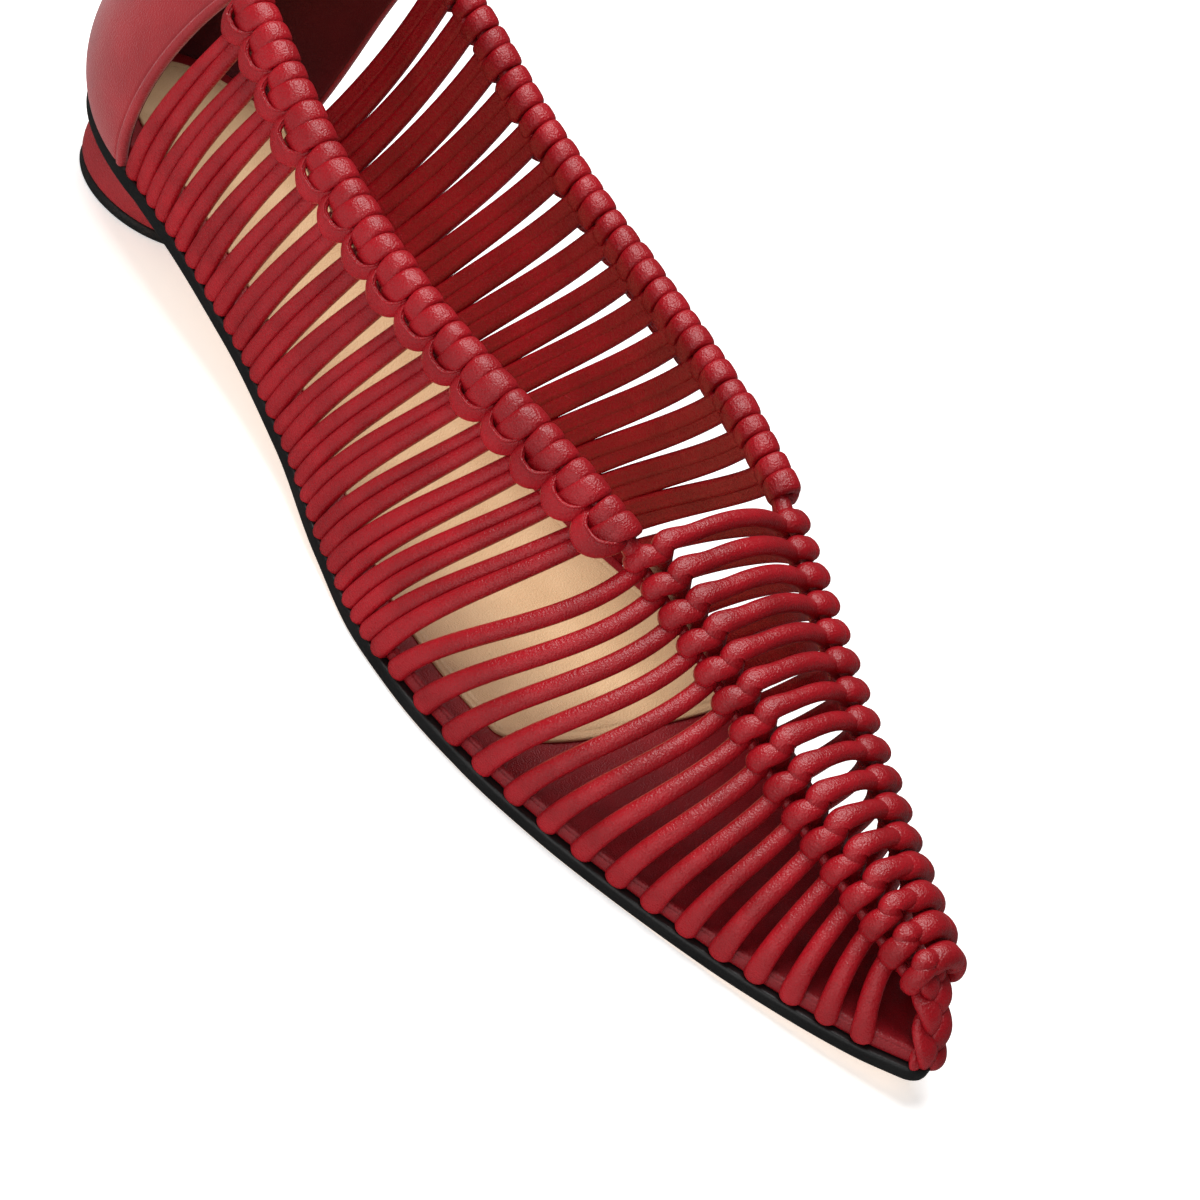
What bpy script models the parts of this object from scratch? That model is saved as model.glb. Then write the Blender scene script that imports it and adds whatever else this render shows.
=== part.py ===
"""Right-foot pointed flat shoe with a corded upper, at its real size.

Metres, +Z up, toe towards +X, medial side towards +Y. The sole stands on z = 0 and the
origin is under the middle of the shoe. Leather cords rise from the sole edge, pass in pairs
over a collar rope along the sides, and cross the forepart between two rows of knots.
"""
from collections import namedtuple
from math import cos, pi, radians, sin

import bmesh
import bpy
import numpy as np

NAME = "corded_flat_shoe"
LATERAL = -1
MEDIAL = 1
CLEARANCE = 0.0003
# The tables below count x from the middle of the sole; this puts the origin under the whole shoe.
ORIGIN_SHIFT_X = 0.0017

# Sole: plan outline as distances from the centre line, and height of its underside.
SoleRow = namedtuple("SoleRow", "x lateral medial")
SOLE_ROWS = (
    SoleRow(-0.097, 0.0215, 0.0285),
    SoleRow(-0.086, 0.0228, 0.0286),
    SoleRow(-0.062, 0.0238, 0.0270),
    SoleRow(-0.038, 0.0269, 0.0260),
    SoleRow(-0.015, 0.0334, 0.0284),
    SoleRow(0.009, 0.0390, 0.0340),
    SoleRow(0.023, 0.0400, 0.0376),
    SoleRow(0.038, 0.0388, 0.0396),
    SoleRow(0.056, 0.0349, 0.0374),
    SoleRow(0.080, 0.0264, 0.0298),
    SoleRow(0.104, 0.0166, 0.0192),
    SoleRow(0.121, 0.0084, 0.0100),
    SoleRow(0.1290, 0.0035, 0.0039),
)
UnderRow = namedtuple("UnderRow", "x height")
UNDER_ROWS = (
    UnderRow(-0.1325, 0.0135),
    UnderRow(-0.090, 0.0135),
    UnderRow(-0.062, 0.0098),
    UnderRow(-0.038, 0.0054),
    UnderRow(-0.015, 0.0017),
    UnderRow(0.004, 0.0),
    UnderRow(0.072, 0.0),
    UnderRow(0.092, 0.0005),
    UnderRow(0.106, 0.0015),
    UnderRow(0.120, 0.0030),
    UnderRow(0.131, 0.0048),
)
SEAT_X = -0.097
SEAT_Y = 0.0035
SEAT_LENGTH = 0.0355
SEAT_HALF_WIDTH = 0.025
TOE_X = 0.1264
TOE_Y = 0.0002
TOE_RADIUS = 0.0045
TOE_START = radians(35)
SOLE_THICK = 0.0030
SOLE_EDGE_STEP = 0.0007
SOLE_TOP_ROUND = 0.0004
FEATHER_INSET = 0.0034
STATION_STEP = 0.012
HEEL_STATIONS = 6
TOE_STATIONS = 3

# Heel and its top piece: turned, with a swelling wall.
HEEL_X = -0.1100
HEEL_Y = 0.0050
TOP_PIECE_THICK = 0.0022
HEEL_SIDES = 40
HeelRow = namedtuple("HeelRow", "height radius")
HEEL_ROWS = (
    HeelRow(0.0132, 0.0166),
    HeelRow(0.0118, 0.0177),
    HeelRow(0.0090, 0.0188),
    HeelRow(0.0062, 0.0191),
    HeelRow(0.0040, 0.0188),
    HeelRow(0.0025, 0.0181),
)
TOP_PIECE_RADIUS = 0.0180
TOP_PIECE_BEVEL = 0.0005

# Insole board and the sock lining on it.
INSOLE_THICK = 0.0022
INSOLE_INSET = 0.0044
INSOLE_TOE_X = 0.121
INSOLE_ROUND = 0.0008
SOCK_THICK = 0.0008
SOCK_INSET = 0.0075
SOCK_FRONT_X = 0.044
SOCK_CORNER_X = 0.036

# Collar: the top edge of the side walls, as the inside of the upper sees it.
CollarRow = namedtuple("CollarRow", "x lateral medial height lean")
COLLAR_ROWS = (
    CollarRow(-0.126, 0.0100, 0.0190, 0.0700, 12),
    CollarRow(-0.096, 0.0215, 0.0290, 0.0680, 7),
    CollarRow(-0.086, 0.0225, 0.0295, 0.0662, 6),
    CollarRow(-0.061, 0.0228, 0.0310, 0.0602, 6),
    CollarRow(-0.035, 0.0222, 0.0316, 0.0565, 7),
    CollarRow(-0.010, 0.0204, 0.0302, 0.0545, 11),
    CollarRow(0.008, 0.0176, 0.0278, 0.0528, 20),
    CollarRow(0.027, 0.0142, 0.0245, 0.0490, 38),
)
COLLAR_BACK_X = -0.096
COLLAR_BACK_Y = 0.0040
COLLAR_BACK_LENGTH = 0.0300

# Forepart: the middle line of each row of knots, as the inside of the upper sees it.
KnotRow = namedtuple("KnotRow", "x lateral medial height lean")
KNOT_ROWS = (
    KnotRow(0.0335, 0.0136, 0.0250, 0.0430, 57),
    KnotRow(0.0560, 0.0099, 0.0203, 0.0358, 55),
    KnotRow(0.0790, 0.0068, 0.0154, 0.0283, 52),
    KnotRow(0.0960, 0.0039, 0.0110, 0.0236, 48),
    KnotRow(0.1180, 0.0004, 0.0052, 0.0186, 45),
)
MEDIAL_RISE = 0.0012
FlareRow = namedtuple("FlareRow", "x degrees")
FLARE_ROWS = (
    FlareRow(-0.131, 27),
    FlareRow(-0.104, 26),
    FlareRow(-0.080, 18),
    FlareRow(-0.050, 14),
    FlareRow(0.131, 13),
)
HANDLE = 0.36

# Cords along the sides, in pairs under a collar loop.
PAIRS = 15
PAIR_BASE_START = -0.1025
CORD_PITCH = 0.00382
LOOP_START = -0.0935
LOOP_PITCH = 0.00846
LOOP_HALF_GAP = 0.0019
GAP_START = 0.36
PAIR_COLUMNS = 4
WALL_SHARES = (0.0, 0.18, GAP_START, 0.57, 0.78)
ROPE_WIDTH = 0.0062
LOOP_WIDTH = 0.0032

# Single cords over the forepart, each through a knot, a cross cord and a second knot.
SINGLES = 15
SINGLE_BASE_START = 0.0158
SINGLE_BASE_PITCH = 0.0083
SINGLE_BASE_EASE = 0.000066
KNOT_START = 0.0335
KNOT_PITCH = 0.00565
KNOT_HALF = 0.0044
KNOT_LOBE = 0.0022
CORD_WIDTH = 0.0036
CORD_BASE_WIDTH = 0.0045
SINGLE_SHARES = (0.0, 0.25, 0.5, 0.75, 1.0)
CROSS_SHARES = (0.25, 0.5, 0.75)
BRAID_SHARES = (0.25, 0.5, 0.75, 1.0)
BRAID_BASE_X = 0.1264
BRAID_BASE_Y = 0.0024
BRAID_BASE_HALF = 0.0040

# Wall thickness at each place, from the inside of the upper outwards.
CORD_THICK = 0.0030
CORD_EDGE_THICK = 0.0016
LOOP_THICK = 0.0044
LOOP_EDGE_THICK = 0.0034
ROPE_THICK = 0.0058
ROPE_VALLEY_THICK = 0.0048
ROPE_EDGE_THICK = 0.0030
KNOT_THICK = 0.0062
KNOT_VALLEY_THICK = 0.0048
KNOT_EDGE_THICK = 0.0034
BRAID_THICK = 0.0040

# Counter: the smooth leather back between the two walls of cord.
COUNTER_THICK = 0.0020
COUNTER_BASE_X = -0.1032
COUNTER_TOP_X = -0.0984
COUNTER_COLUMNS = 18
COUNTER_SHARES = (0.0, 0.14, 0.3, 0.48, 0.66, 0.84, 1.0)
COUNTER_EDGE_BEND = 3

LINE_POINTS = 400
CURVE_POINTS = 40
UP = np.array([0.0, 0.0, 1.0])

Finish = namedtuple("Finish", "colour roughness")
RED_LEATHER = Finish((0.34, 0.030, 0.036, 1.0), 0.42)
DARK_RED_LEATHER = Finish((0.21, 0.018, 0.024, 1.0), 0.45)
TAN_LEATHER = Finish((0.73, 0.48, 0.26, 1.0), 0.50)
BLACK_EDGE = Finish((0.012, 0.012, 0.013, 1.0), 0.35)


def through(rows, column, at):
    """A smooth line through one column of a table, read at x, with no overshoot."""
    places = np.array([row[0] for row in rows])
    values = np.array([getattr(row, column) for row in rows])
    steps = np.diff(places)
    slopes = np.diff(values) / steps
    before = slopes[:-1]
    after = slopes[1:]
    same_way = before * after > 0
    both = np.where(same_way, before + after, 1.0)
    inner = np.where(same_way, 2 * before * after / both, 0.0)
    tangents = np.concatenate([slopes[:1], inner, slopes[-1:]])
    at = np.clip(at, places[0], places[-1])
    left = np.clip(np.searchsorted(places, at) - 1, 0, len(steps) - 1)
    step = steps[left]
    t = (at - places[left]) / step
    start = (1 + 2 * t) * (1 - t) ** 2 * values[left] + t * (1 - t) ** 2 * step * tangents[left]
    end = t * t * (3 - 2 * t) * values[left + 1] - t * t * (1 - t) * step * tangents[left + 1]
    return start + end


def sole_under(x):
    """Height of the sole's underside."""
    return through(UNDER_ROWS, "height", x)


def side_column(side):
    """Name of the table column for one side."""
    return "lateral" if side == LATERAL else "medial"


class Line:
    """One side's line from the back of the shoe to its toe, with its outward directions."""

    def __init__(self, plan, side, heights):
        along = np.gradient(plan, axis=0)
        along /= np.linalg.norm(along, axis=1)[:, None]
        self.out = side * np.stack([-along[:, 1], along[:, 0], 0 * along[:, 0]], axis=1)
        self.points = np.column_stack([plan, heights])
        lengths = np.linalg.norm(np.diff(self.points, axis=0), axis=1)
        self.length = np.concatenate([[0.0], np.cumsum(lengths)])

    def at_length(self, length):
        """Point and outward direction at a length from the back."""
        point = np.array([np.interp(length, self.length, part) for part in self.points.T])
        out = np.array([np.interp(length, self.length, part) for part in self.out.T])
        return point, out / np.linalg.norm(out)

    def at_x(self, x):
        """Point and outward direction at a place along the shoe."""
        return self.at_length(self.length_at_x(x))

    def length_at_x(self, x):
        """Length from the back to a place along the shoe."""
        return np.interp(x, self.points[:, 0], self.length)


def sole_plan(side, heel_angles, middle, toe_angles):
    """Half the sole's outline: elliptic seat, table rows, round toe tip."""
    heel = np.column_stack([
        SEAT_X - SEAT_LENGTH * np.cos(heel_angles),
        SEAT_Y + side * SEAT_HALF_WIDTH * np.sin(heel_angles),
    ])
    sides = np.column_stack([middle, side * through(SOLE_ROWS, side_column(side), middle)])
    toe = np.column_stack([
        TOE_X + TOE_RADIUS * np.sin(toe_angles),
        TOE_Y + side * TOE_RADIUS * np.cos(toe_angles),
    ])
    return np.concatenate([heel, sides, toe])


def inset_plan(plan, side, inset):
    """A plan line moved inwards by one distance."""
    along = np.gradient(plan, axis=0)
    along /= np.linalg.norm(along, axis=1)[:, None]
    return plan - inset * side * np.column_stack([-along[:, 1], along[:, 0]])


def flare_angle(x):
    """How far the wall leans out at its foot."""
    return np.radians(through(FLARE_ROWS, "degrees", x))


def foot_height(x, thick):
    """Height of the inside of a wall's foot: its outer edge, lower by the lean, clears the sole."""
    return sole_under(x) + SOLE_THICK + CLEARANCE + thick * np.sin(flare_angle(x))


def feather_line(side, thick):
    """Where the inside of the upper meets the top of the sole."""
    plan = sole_plan(
        side,
        np.linspace(0, pi / 2, LINE_POINTS, endpoint=False),
        np.linspace(SEAT_X, SOLE_ROWS[-1].x, LINE_POINTS, endpoint=False),
        np.linspace(TOE_START, pi / 2, LINE_POINTS),
    )
    plan = inset_plan(plan, side, FEATHER_INSET)
    return Line(plan, side, foot_height(plan[:, 0], thick))


def collar_line(side):
    """The top edge of the upper's inside, round the back and along the opening."""
    angles = np.linspace(0, pi / 2, LINE_POINTS, endpoint=False)
    column = side_column(side)
    back_half = through(COLLAR_ROWS, column, COLLAR_BACK_X) - side * COLLAR_BACK_Y
    back = np.column_stack([
        COLLAR_BACK_X - COLLAR_BACK_LENGTH * np.cos(angles),
        COLLAR_BACK_Y + side * back_half * np.sin(angles),
    ])
    places = np.linspace(COLLAR_BACK_X, COLLAR_ROWS[-1].x, LINE_POINTS)
    sides = np.column_stack([places, side * through(COLLAR_ROWS, column, places)])
    plan = np.concatenate([back, sides])
    return Line(plan, side, through(COLLAR_ROWS, "height", plan[:, 0]))


def knot_point(side, x):
    """Middle of a knot on the inside of the upper."""
    rise = MEDIAL_RISE if side == MEDIAL else 0.0
    across = side * through(KNOT_ROWS, side_column(side), x)
    return np.array([x, across, through(KNOT_ROWS, "height", x) + rise])


def bent(start, start_way, end, end_way, shares):
    """A cubic curve that leaves along one direction and arrives along another."""
    reach = HANDLE * np.linalg.norm(end - start)
    forward = np.array([(end[0] - start[0]) / 3, 0.0, 0.0])
    first = start + reach * start_way + forward
    second = end - reach * end_way - forward
    t = np.asarray(shares)[..., None]
    return ((1 - t) ** 3 * start + 3 * t * (1 - t) ** 2 * first
            + 3 * t * t * (1 - t) * second + t ** 3 * end)


def flare(start, out):
    """Direction in which the wall leaves the sole."""
    angle = flare_angle(start[0])
    return cos(angle) * UP + sin(angle) * out


def lean_in(out, degrees):
    """Direction of the wall where it leans in over the foot."""
    return cos(radians(degrees)) * UP - sin(radians(degrees)) * out


class Wall:
    """The inside of one side of the upper, between the sole and the collar."""

    def __init__(self, side, thick):
        self.side = side
        self.base = feather_line(side, thick)
        self.top = collar_line(side)

    def ends(self, base_length, top_length):
        """Both ends of a line up the wall, each with its direction."""
        start, start_out = self.base.at_length(base_length)
        end, end_out = self.top.at_length(top_length)
        lean = through(COLLAR_ROWS, "lean", end[0])
        return start, flare(start, start_out), end, lean_in(end_out, lean)

    def point(self, base_x, top_x, share):
        """Point at a share of the way up from one x at the sole to another at the collar."""
        ends = self.ends(self.base.length_at_x(base_x), self.top.length_at_x(top_x))
        return bent(*ends, share)

    def below_top(self, base_x, top_x, distance):
        """Share of the way up at a distance below the collar's edge."""
        start, _, end, _ = self.ends(self.base.length_at_x(base_x), self.top.length_at_x(top_x))
        return 1 - distance / np.linalg.norm(end - start)


class Sheet:
    """An open surface with its own thickness at each point, made solid at the end."""

    def __init__(self):
        self.points = []
        self.thickness = []
        self.faces = []
        self.numbers = {}

    def point(self, key, position, thickness):
        """Number of a named point, which is made the first time it is asked for."""
        if key not in self.numbers:
            self.numbers[key] = len(self.points)
            self.points.append(tuple(position))
            self.thickness.append(thickness)
        return self.numbers[key]

    def strips(self, rows):
        """Four-sided faces between rows of point numbers of equal length."""
        for lower, upper in zip(rows, rows[1:]):
            for i in range(len(lower) - 1):
                corners = (lower[i], lower[i + 1], upper[i + 1], upper[i])
                self.faces.append(tuple(dict.fromkeys(corners)))

    def solid(self, name, finish):
        """The sheet as an object, thickened outwards by a Solidify modifier."""
        mesh = bpy.data.meshes.new(name)
        mesh.from_pydata(self.points, [], self.faces)
        work = bmesh.new()
        work.from_mesh(mesh)
        bmesh.ops.recalc_face_normals(work, faces=work.faces)
        highest = max(work.faces, key=lambda face: face.calc_center_median().z)
        if highest.normal.dot(highest.calc_center_median()) < 0:
            bmesh.ops.reverse_faces(work, faces=work.faces)
        work.to_mesh(mesh)
        work.free()
        thing = put(name, mesh, finish)
        most = max(self.thickness)
        group = thing.vertex_groups.new(name="thickness")
        for number, thickness in enumerate(self.thickness):
            group.add([number], thickness / most, "REPLACE")
        shell = thing.modifiers.new("wall", "SOLIDIFY")
        shell.thickness = most
        shell.offset = 1.0
        shell.vertex_group = group.name
        return thing


def finish_material(name, finish):
    """A plain material with the piece's colour."""
    material = bpy.data.materials.new(name)
    material.use_nodes = True
    shader = material.node_tree.nodes["Principled BSDF"]
    shader.inputs["Base Color"].default_value = finish.colour
    shader.inputs["Roughness"].default_value = finish.roughness
    shader.inputs["Metallic"].default_value = 0.0
    return material


def put(name, mesh, finish):
    """An object for a mesh, in the shoe's collection."""
    thing = bpy.data.objects.new(name, mesh)
    mesh.materials.append(finish_material(name, finish))
    thing.location.x = ORIGIN_SHIFT_X
    bpy.data.collections[NAME].objects.link(thing)
    return thing


def side_stations(last_x):
    """Places along the middle of the sole, about one step apart."""
    count = round((last_x - SEAT_X) / STATION_STEP)
    return np.linspace(SEAT_X, last_x, count + 1)


def plate(name, levels, finish):
    """A flat piece from outlines stacked upwards; each level is a lateral and a medial line."""
    work = bmesh.new()
    rings = []
    for lateral, medial in levels:
        ring = [work.verts.new(point) for point in np.concatenate([lateral, medial[::-1]])]
        rings.append(ring)
    count = len(rings[0])
    for lower, upper in zip(rings, rings[1:]):
        for i in range(count):
            j = (i + 1) % count
            work.faces.new((lower[i], lower[j], upper[j], upper[i]))
    for ring, is_top in ((rings[0], False), (rings[-1], True)):
        for i in range(count // 2 - 1):
            rung = (ring[i], ring[i + 1], ring[count - 2 - i], ring[count - 1 - i])
            work.faces.new(rung if is_top else rung[::-1])
    bmesh.ops.recalc_face_normals(work, faces=work.faces)
    mesh = bpy.data.meshes.new(name)
    work.to_mesh(mesh)
    work.free()
    return put(name, mesh, finish)


def level(heel_angles, middle, toe_angles, inset, lift):
    """Both sides of the sole's outline, moved in and lifted above the sole's underside."""
    sides = []
    for side in (LATERAL, MEDIAL):
        plan = inset_plan(sole_plan(side, heel_angles, middle, toe_angles), side, inset)
        sides.append(np.column_stack([plan, sole_under(plan[:, 0]) + lift]))
    return sides


def heel_stations():
    """Angles round the back of the sole, starting just beside the middle."""
    step = pi / 2 / HEEL_STATIONS
    return step * (np.arange(HEEL_STATIONS) + 0.5)


def outsole():
    """Thin black sole with a stepped edge, arched waist and toe spring."""
    toe = np.linspace(TOE_START, radians(78), TOE_STATIONS)
    middle = side_stations(SOLE_ROWS[-1].x)[:-1]
    levels = [
        level(heel_stations(), middle, toe, SOLE_EDGE_STEP, 0.0),
        level(heel_stations(), middle, toe, 0.0, SOLE_EDGE_STEP),
        level(heel_stations(), middle, toe, 0.0, SOLE_THICK - SOLE_TOP_ROUND),
        level(heel_stations(), middle, toe, SOLE_TOP_ROUND, SOLE_THICK),
    ]
    return plate("outsole", levels, BLACK_EDGE)


def insole():
    """Leather-covered board inside the upper."""
    middle = side_stations(INSOLE_TOE_X)
    none = np.array([])
    low = SOLE_THICK + CLEARANCE
    high = low + INSOLE_THICK
    levels = [
        level(heel_stations(), middle, none, INSOLE_INSET, low),
        level(heel_stations(), middle, none, INSOLE_INSET, high - INSOLE_ROUND),
        level(heel_stations(), middle, none, INSOLE_INSET + INSOLE_ROUND, high),
    ]
    return plate("insole", levels, DARK_RED_LEATHER)


def sock_lining():
    """Thin leather sock from the heel to the ball, with a rounded front."""
    middle = side_stations(SOCK_CORNER_X)
    none = np.array([])
    low = SOLE_THICK + 2 * CLEARANCE + INSOLE_THICK
    levels = []
    for lift in (low, low + SOCK_THICK):
        sides = level(heel_stations(), middle, none, SOCK_INSET, lift)
        corner_y = [line[-1, 1] for line in sides]
        centre = sum(corner_y) / 2
        fronts = []
        for line in sides:
            front = []
            for angle in (pi / 6, pi / 3):
                x = SOCK_CORNER_X + (SOCK_FRONT_X - SOCK_CORNER_X) * sin(angle)
                y = centre + (line[-1, 1] - centre) * cos(angle)
                front.append((x, y, sole_under(x) + lift))
            fronts.append(np.concatenate([line, front]))
        levels.append(fronts)
    return plate("sock_lining", levels, TAN_LEATHER)


def turned(name, rows, finish):
    """A turned piece from a profile of heights and radii, top row first."""
    work = bmesh.new()
    profile = [HeelRow(rows[0].height, 0.0), *rows, HeelRow(rows[-1].height, 0.0)]
    line = [work.verts.new((row.radius, 0.0, row.height)) for row in profile]
    for start, end in zip(line, line[1:]):
        work.edges.new((start, end))
    mesh = bpy.data.meshes.new(name)
    work.to_mesh(mesh)
    work.free()
    thing = put(name, mesh, finish)
    thing.location = (HEEL_X + ORIGIN_SHIFT_X, HEEL_Y, 0.0)
    turn = thing.modifiers.new("turn", "SCREW")
    turn.steps = HEEL_SIDES
    turn.render_steps = HEEL_SIDES
    turn.use_merge_vertices = True
    turn.merge_threshold = 0.00002
    return thing


def heel():
    """Low round heel with a leather-covered swelling wall."""
    return turned("heel", HEEL_ROWS, RED_LEATHER)


def top_piece():
    """Thin wearing piece under the heel."""
    rows = (
        HeelRow(TOP_PIECE_THICK, TOP_PIECE_RADIUS),
        HeelRow(TOP_PIECE_BEVEL, TOP_PIECE_RADIUS),
        HeelRow(0.0, TOP_PIECE_RADIUS - TOP_PIECE_BEVEL),
    )
    return turned("top_piece", rows, BLACK_EDGE)


def counter_edge(wall, share):
    """Lengths along base and top lines at the counter's front edge, which bends forward."""
    bend = share ** COUNTER_EDGE_BEND
    base = wall.base.length_at_x(COUNTER_BASE_X)
    low_top = wall.top.length_at_x(COUNTER_BASE_X)
    high_top = wall.top.length_at_x(COUNTER_TOP_X)
    return base, low_top + bend * (high_top - low_top)


def counter():
    """Smooth leather back, a shell from one front edge round the heel to the other."""
    sheet = Sheet()
    walls = {side: Wall(side, COUNTER_THICK) for side in (LATERAL, MEDIAL)}
    rows = []
    for share in COUNTER_SHARES:
        row = []
        for column in range(COUNTER_COLUMNS + 1):
            turn = 2 * column / COUNTER_COLUMNS - 1
            wall = walls[LATERAL if turn < 0 else MEDIAL]
            base, top = counter_edge(wall, share)
            ends = wall.ends(abs(turn) * base, abs(turn) * top)
            row.append(sheet.point((share, column), bent(*ends, share), COUNTER_THICK))
        rows.append(row)
    sheet.strips(rows)
    return sheet.solid("counter", RED_LEATHER)


def pair_row(sheet, wall, pair, share, split, thick, edge_thick, valley_thick, tag):
    """Five points across one pair of cords at a share of the wall's height."""
    row = []
    open_gap = LOOP_HALF_GAP * max(0.0, share - GAP_START) / (1 - GAP_START) / max(share, GAP_START)
    for column in range(PAIR_COLUMNS + 1):
        across = column / PAIR_COLUMNS
        base_x = PAIR_BASE_START + (2 * pair + 2 * across) * CORD_PITCH
        top_x = LOOP_START + (pair + across - 0.5) * LOOP_PITCH
        if split:
            top_x += open_gap * (1 - 2 * across)
        key = ("pair", wall.side, tag, pair * PAIR_COLUMNS + column)
        if split:
            key += (pair,)
        if column % PAIR_COLUMNS == 0:
            thickness = edge_thick
        elif column % 2 == 0:
            thickness = valley_thick
        else:
            thickness = thick
        row.append(sheet.point(key, wall.point(base_x, top_x, share), thickness))
    return row


def side_pairs(sheet, wall):
    """All the cord pairs of one side, their loops and the rope over them."""
    throat = None
    for pair in range(PAIRS):
        base_x = PAIR_BASE_START + (2 * pair + 1) * CORD_PITCH
        top_x = LOOP_START + pair * LOOP_PITCH
        rows = []
        for share in WALL_SHARES:
            rows.append(pair_row(sheet, wall, pair, share, share > GAP_START,
                                 CORD_THICK, CORD_EDGE_THICK, CORD_EDGE_THICK, share))
        loop_low = wall.below_top(base_x, top_x, ROPE_WIDTH + LOOP_WIDTH)
        rows.append(pair_row(sheet, wall, pair, loop_low, True,
                             CORD_THICK, CORD_EDGE_THICK, CORD_EDGE_THICK, "loop foot"))
        loop_middle = wall.below_top(base_x, top_x, ROPE_WIDTH + LOOP_WIDTH / 2)
        rows.append(pair_row(sheet, wall, pair, loop_middle, True,
                             LOOP_THICK, LOOP_EDGE_THICK, LOOP_THICK, "loop"))
        for tag, drop, thick, valley in (
            ("rope low", ROPE_WIDTH, ROPE_EDGE_THICK, ROPE_EDGE_THICK),
            ("rope", ROPE_WIDTH / 2, ROPE_THICK, ROPE_VALLEY_THICK),
            ("rope top", 0.0, ROPE_EDGE_THICK, ROPE_EDGE_THICK),
        ):
            share = wall.below_top(base_x, top_x, drop)
            rows.append(pair_row(sheet, wall, pair, share, False, thick, valley, valley, tag))
        sheet.strips(rows)
        throat = [row[-1] for row in rows[-3:]]
    return throat


def hoop(walls, number):
    """Dense line of one forepart cord from sole to sole, and the lengths of its two knots."""
    x = KNOT_START + number * KNOT_PITCH
    base_x = SINGLE_BASE_START + SINGLE_BASE_PITCH * number - SINGLE_BASE_EASE * number ** 2
    base_x = min(base_x, INSOLE_TOE_X)
    shares = np.linspace(0, 1, CURVE_POINTS)
    lean = through(KNOT_ROWS, "lean", x)
    sides = []
    for side in (LATERAL, MEDIAL):
        start, start_out = walls[side].base.at_x(base_x)
        knot = knot_point(side, x)
        straight_out = np.array([0.0, side, 0.0])
        sides.append(bent(start, flare(start, start_out), knot, lean_in(straight_out, lean), shares))
    near = sides[0][-1]
    far = sides[1][-1]
    rise = np.linalg.norm(far - near) / 2 * cos(radians(lean)) / sin(radians(lean)) / 2
    arch = near + shares[:, None] * (far - near) + (4 * shares * (1 - shares) * rise)[:, None] * UP
    line = np.concatenate([sides[0], arch[1:-1], sides[1][::-1]])
    length = np.concatenate([[0.0], np.cumsum(np.linalg.norm(np.diff(line, axis=0), axis=1))])
    return line, length, length[CURVE_POINTS - 1], length[2 * CURVE_POINTS - 3]


def hoop_places(length, near, far):
    """Lengths along a hoop of every row, with the width and thickness that it has there."""
    inner = min(KNOT_HALF, 0.42 * (far - near))
    lobe = min(KNOT_LOBE, inner / 2)
    places = []
    for share in SINGLE_SHARES:
        width = CORD_BASE_WIDTH + (CORD_WIDTH - CORD_BASE_WIDTH) * share
        places.append((share * (near - KNOT_HALF), width, CORD_THICK, CORD_EDGE_THICK))
    places.append((near - KNOT_LOBE, None, KNOT_THICK, KNOT_EDGE_THICK))
    places.append((near, None, KNOT_VALLEY_THICK, KNOT_EDGE_THICK))
    places.append((near + lobe, None, KNOT_THICK, KNOT_EDGE_THICK))
    start = near + inner
    end = far - inner
    for share in (0.0, *CROSS_SHARES, 1.0):
        places.append((start + share * (end - start), CORD_WIDTH, CORD_THICK, CORD_EDGE_THICK))
    places.append((far - lobe, None, KNOT_THICK, KNOT_EDGE_THICK))
    places.append((far, None, KNOT_VALLEY_THICK, KNOT_EDGE_THICK))
    places.append((far + KNOT_LOBE, None, KNOT_THICK, KNOT_EDGE_THICK))
    for share in SINGLE_SHARES[::-1]:
        width = CORD_BASE_WIDTH + (CORD_WIDTH - CORD_BASE_WIDTH) * share
        place = length - share * (length - far - KNOT_HALF)
        places.append((place, width, CORD_THICK, CORD_EDGE_THICK))
    return places


def forepart(sheet, walls, throats):
    """Single cords, both rows of knots, the cross cords and the braid at the toe."""
    centres = []
    layouts = []
    for number in range(-1, SINGLES + 2):
        line, length, near, far = hoop(walls, number)
        places = hoop_places(length[-1], near, far)
        at = [place[0] for place in places]
        centres.append(np.column_stack([np.interp(at, length, part) for part in line.T]))
        layouts.append(places)
    first_knot = len(SINGLE_SHARES)
    near_knot = range(first_knot, first_knot + 3)
    far_knot = range(len(layouts[0]) - first_knot - 3, len(layouts[0]) - first_knot)
    for joint, numbers in ((near_knot, throats[LATERAL]), (far_knot, throats[MEDIAL][::-1])):
        for row, number in zip(joint, numbers):
            sheet.numbers[("knot edge", 0, row)] = number
    for number in range(SINGLES + 1):
        is_toe = number == SINGLES
        rows = []
        for row, (_, width, thick, edge_thick) in enumerate(layouts[number + 1]):
            on_side = row < first_knot or row > far_knot[-1]
            if is_toe and on_side:
                continue
            centre = centres[number + 1][row]
            behind = centres[number][row]
            ahead = centres[number + 2][row]
            across = (ahead - behind) / np.linalg.norm(ahead - behind)
            middle = sheet.point(("knot", number, row), centre, thick)
            if width is None:
                rear = sheet.point(("knot edge", number, row), (centre + behind) / 2, edge_thick)
                front = sheet.point(("knot edge", number + 1, row), (centre + ahead) / 2, edge_thick)
            else:
                rear = sheet.point(("cord rear", number, row), centre - width / 2 * across, edge_thick)
                front = sheet.point(("cord front", number, row), centre + width / 2 * across, edge_thick)
            rows.append([rear, middle, front])
        sheet.strips(rows)
    toe_braid(sheet, [row[-1] for row in rows[1:-1]])


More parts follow.
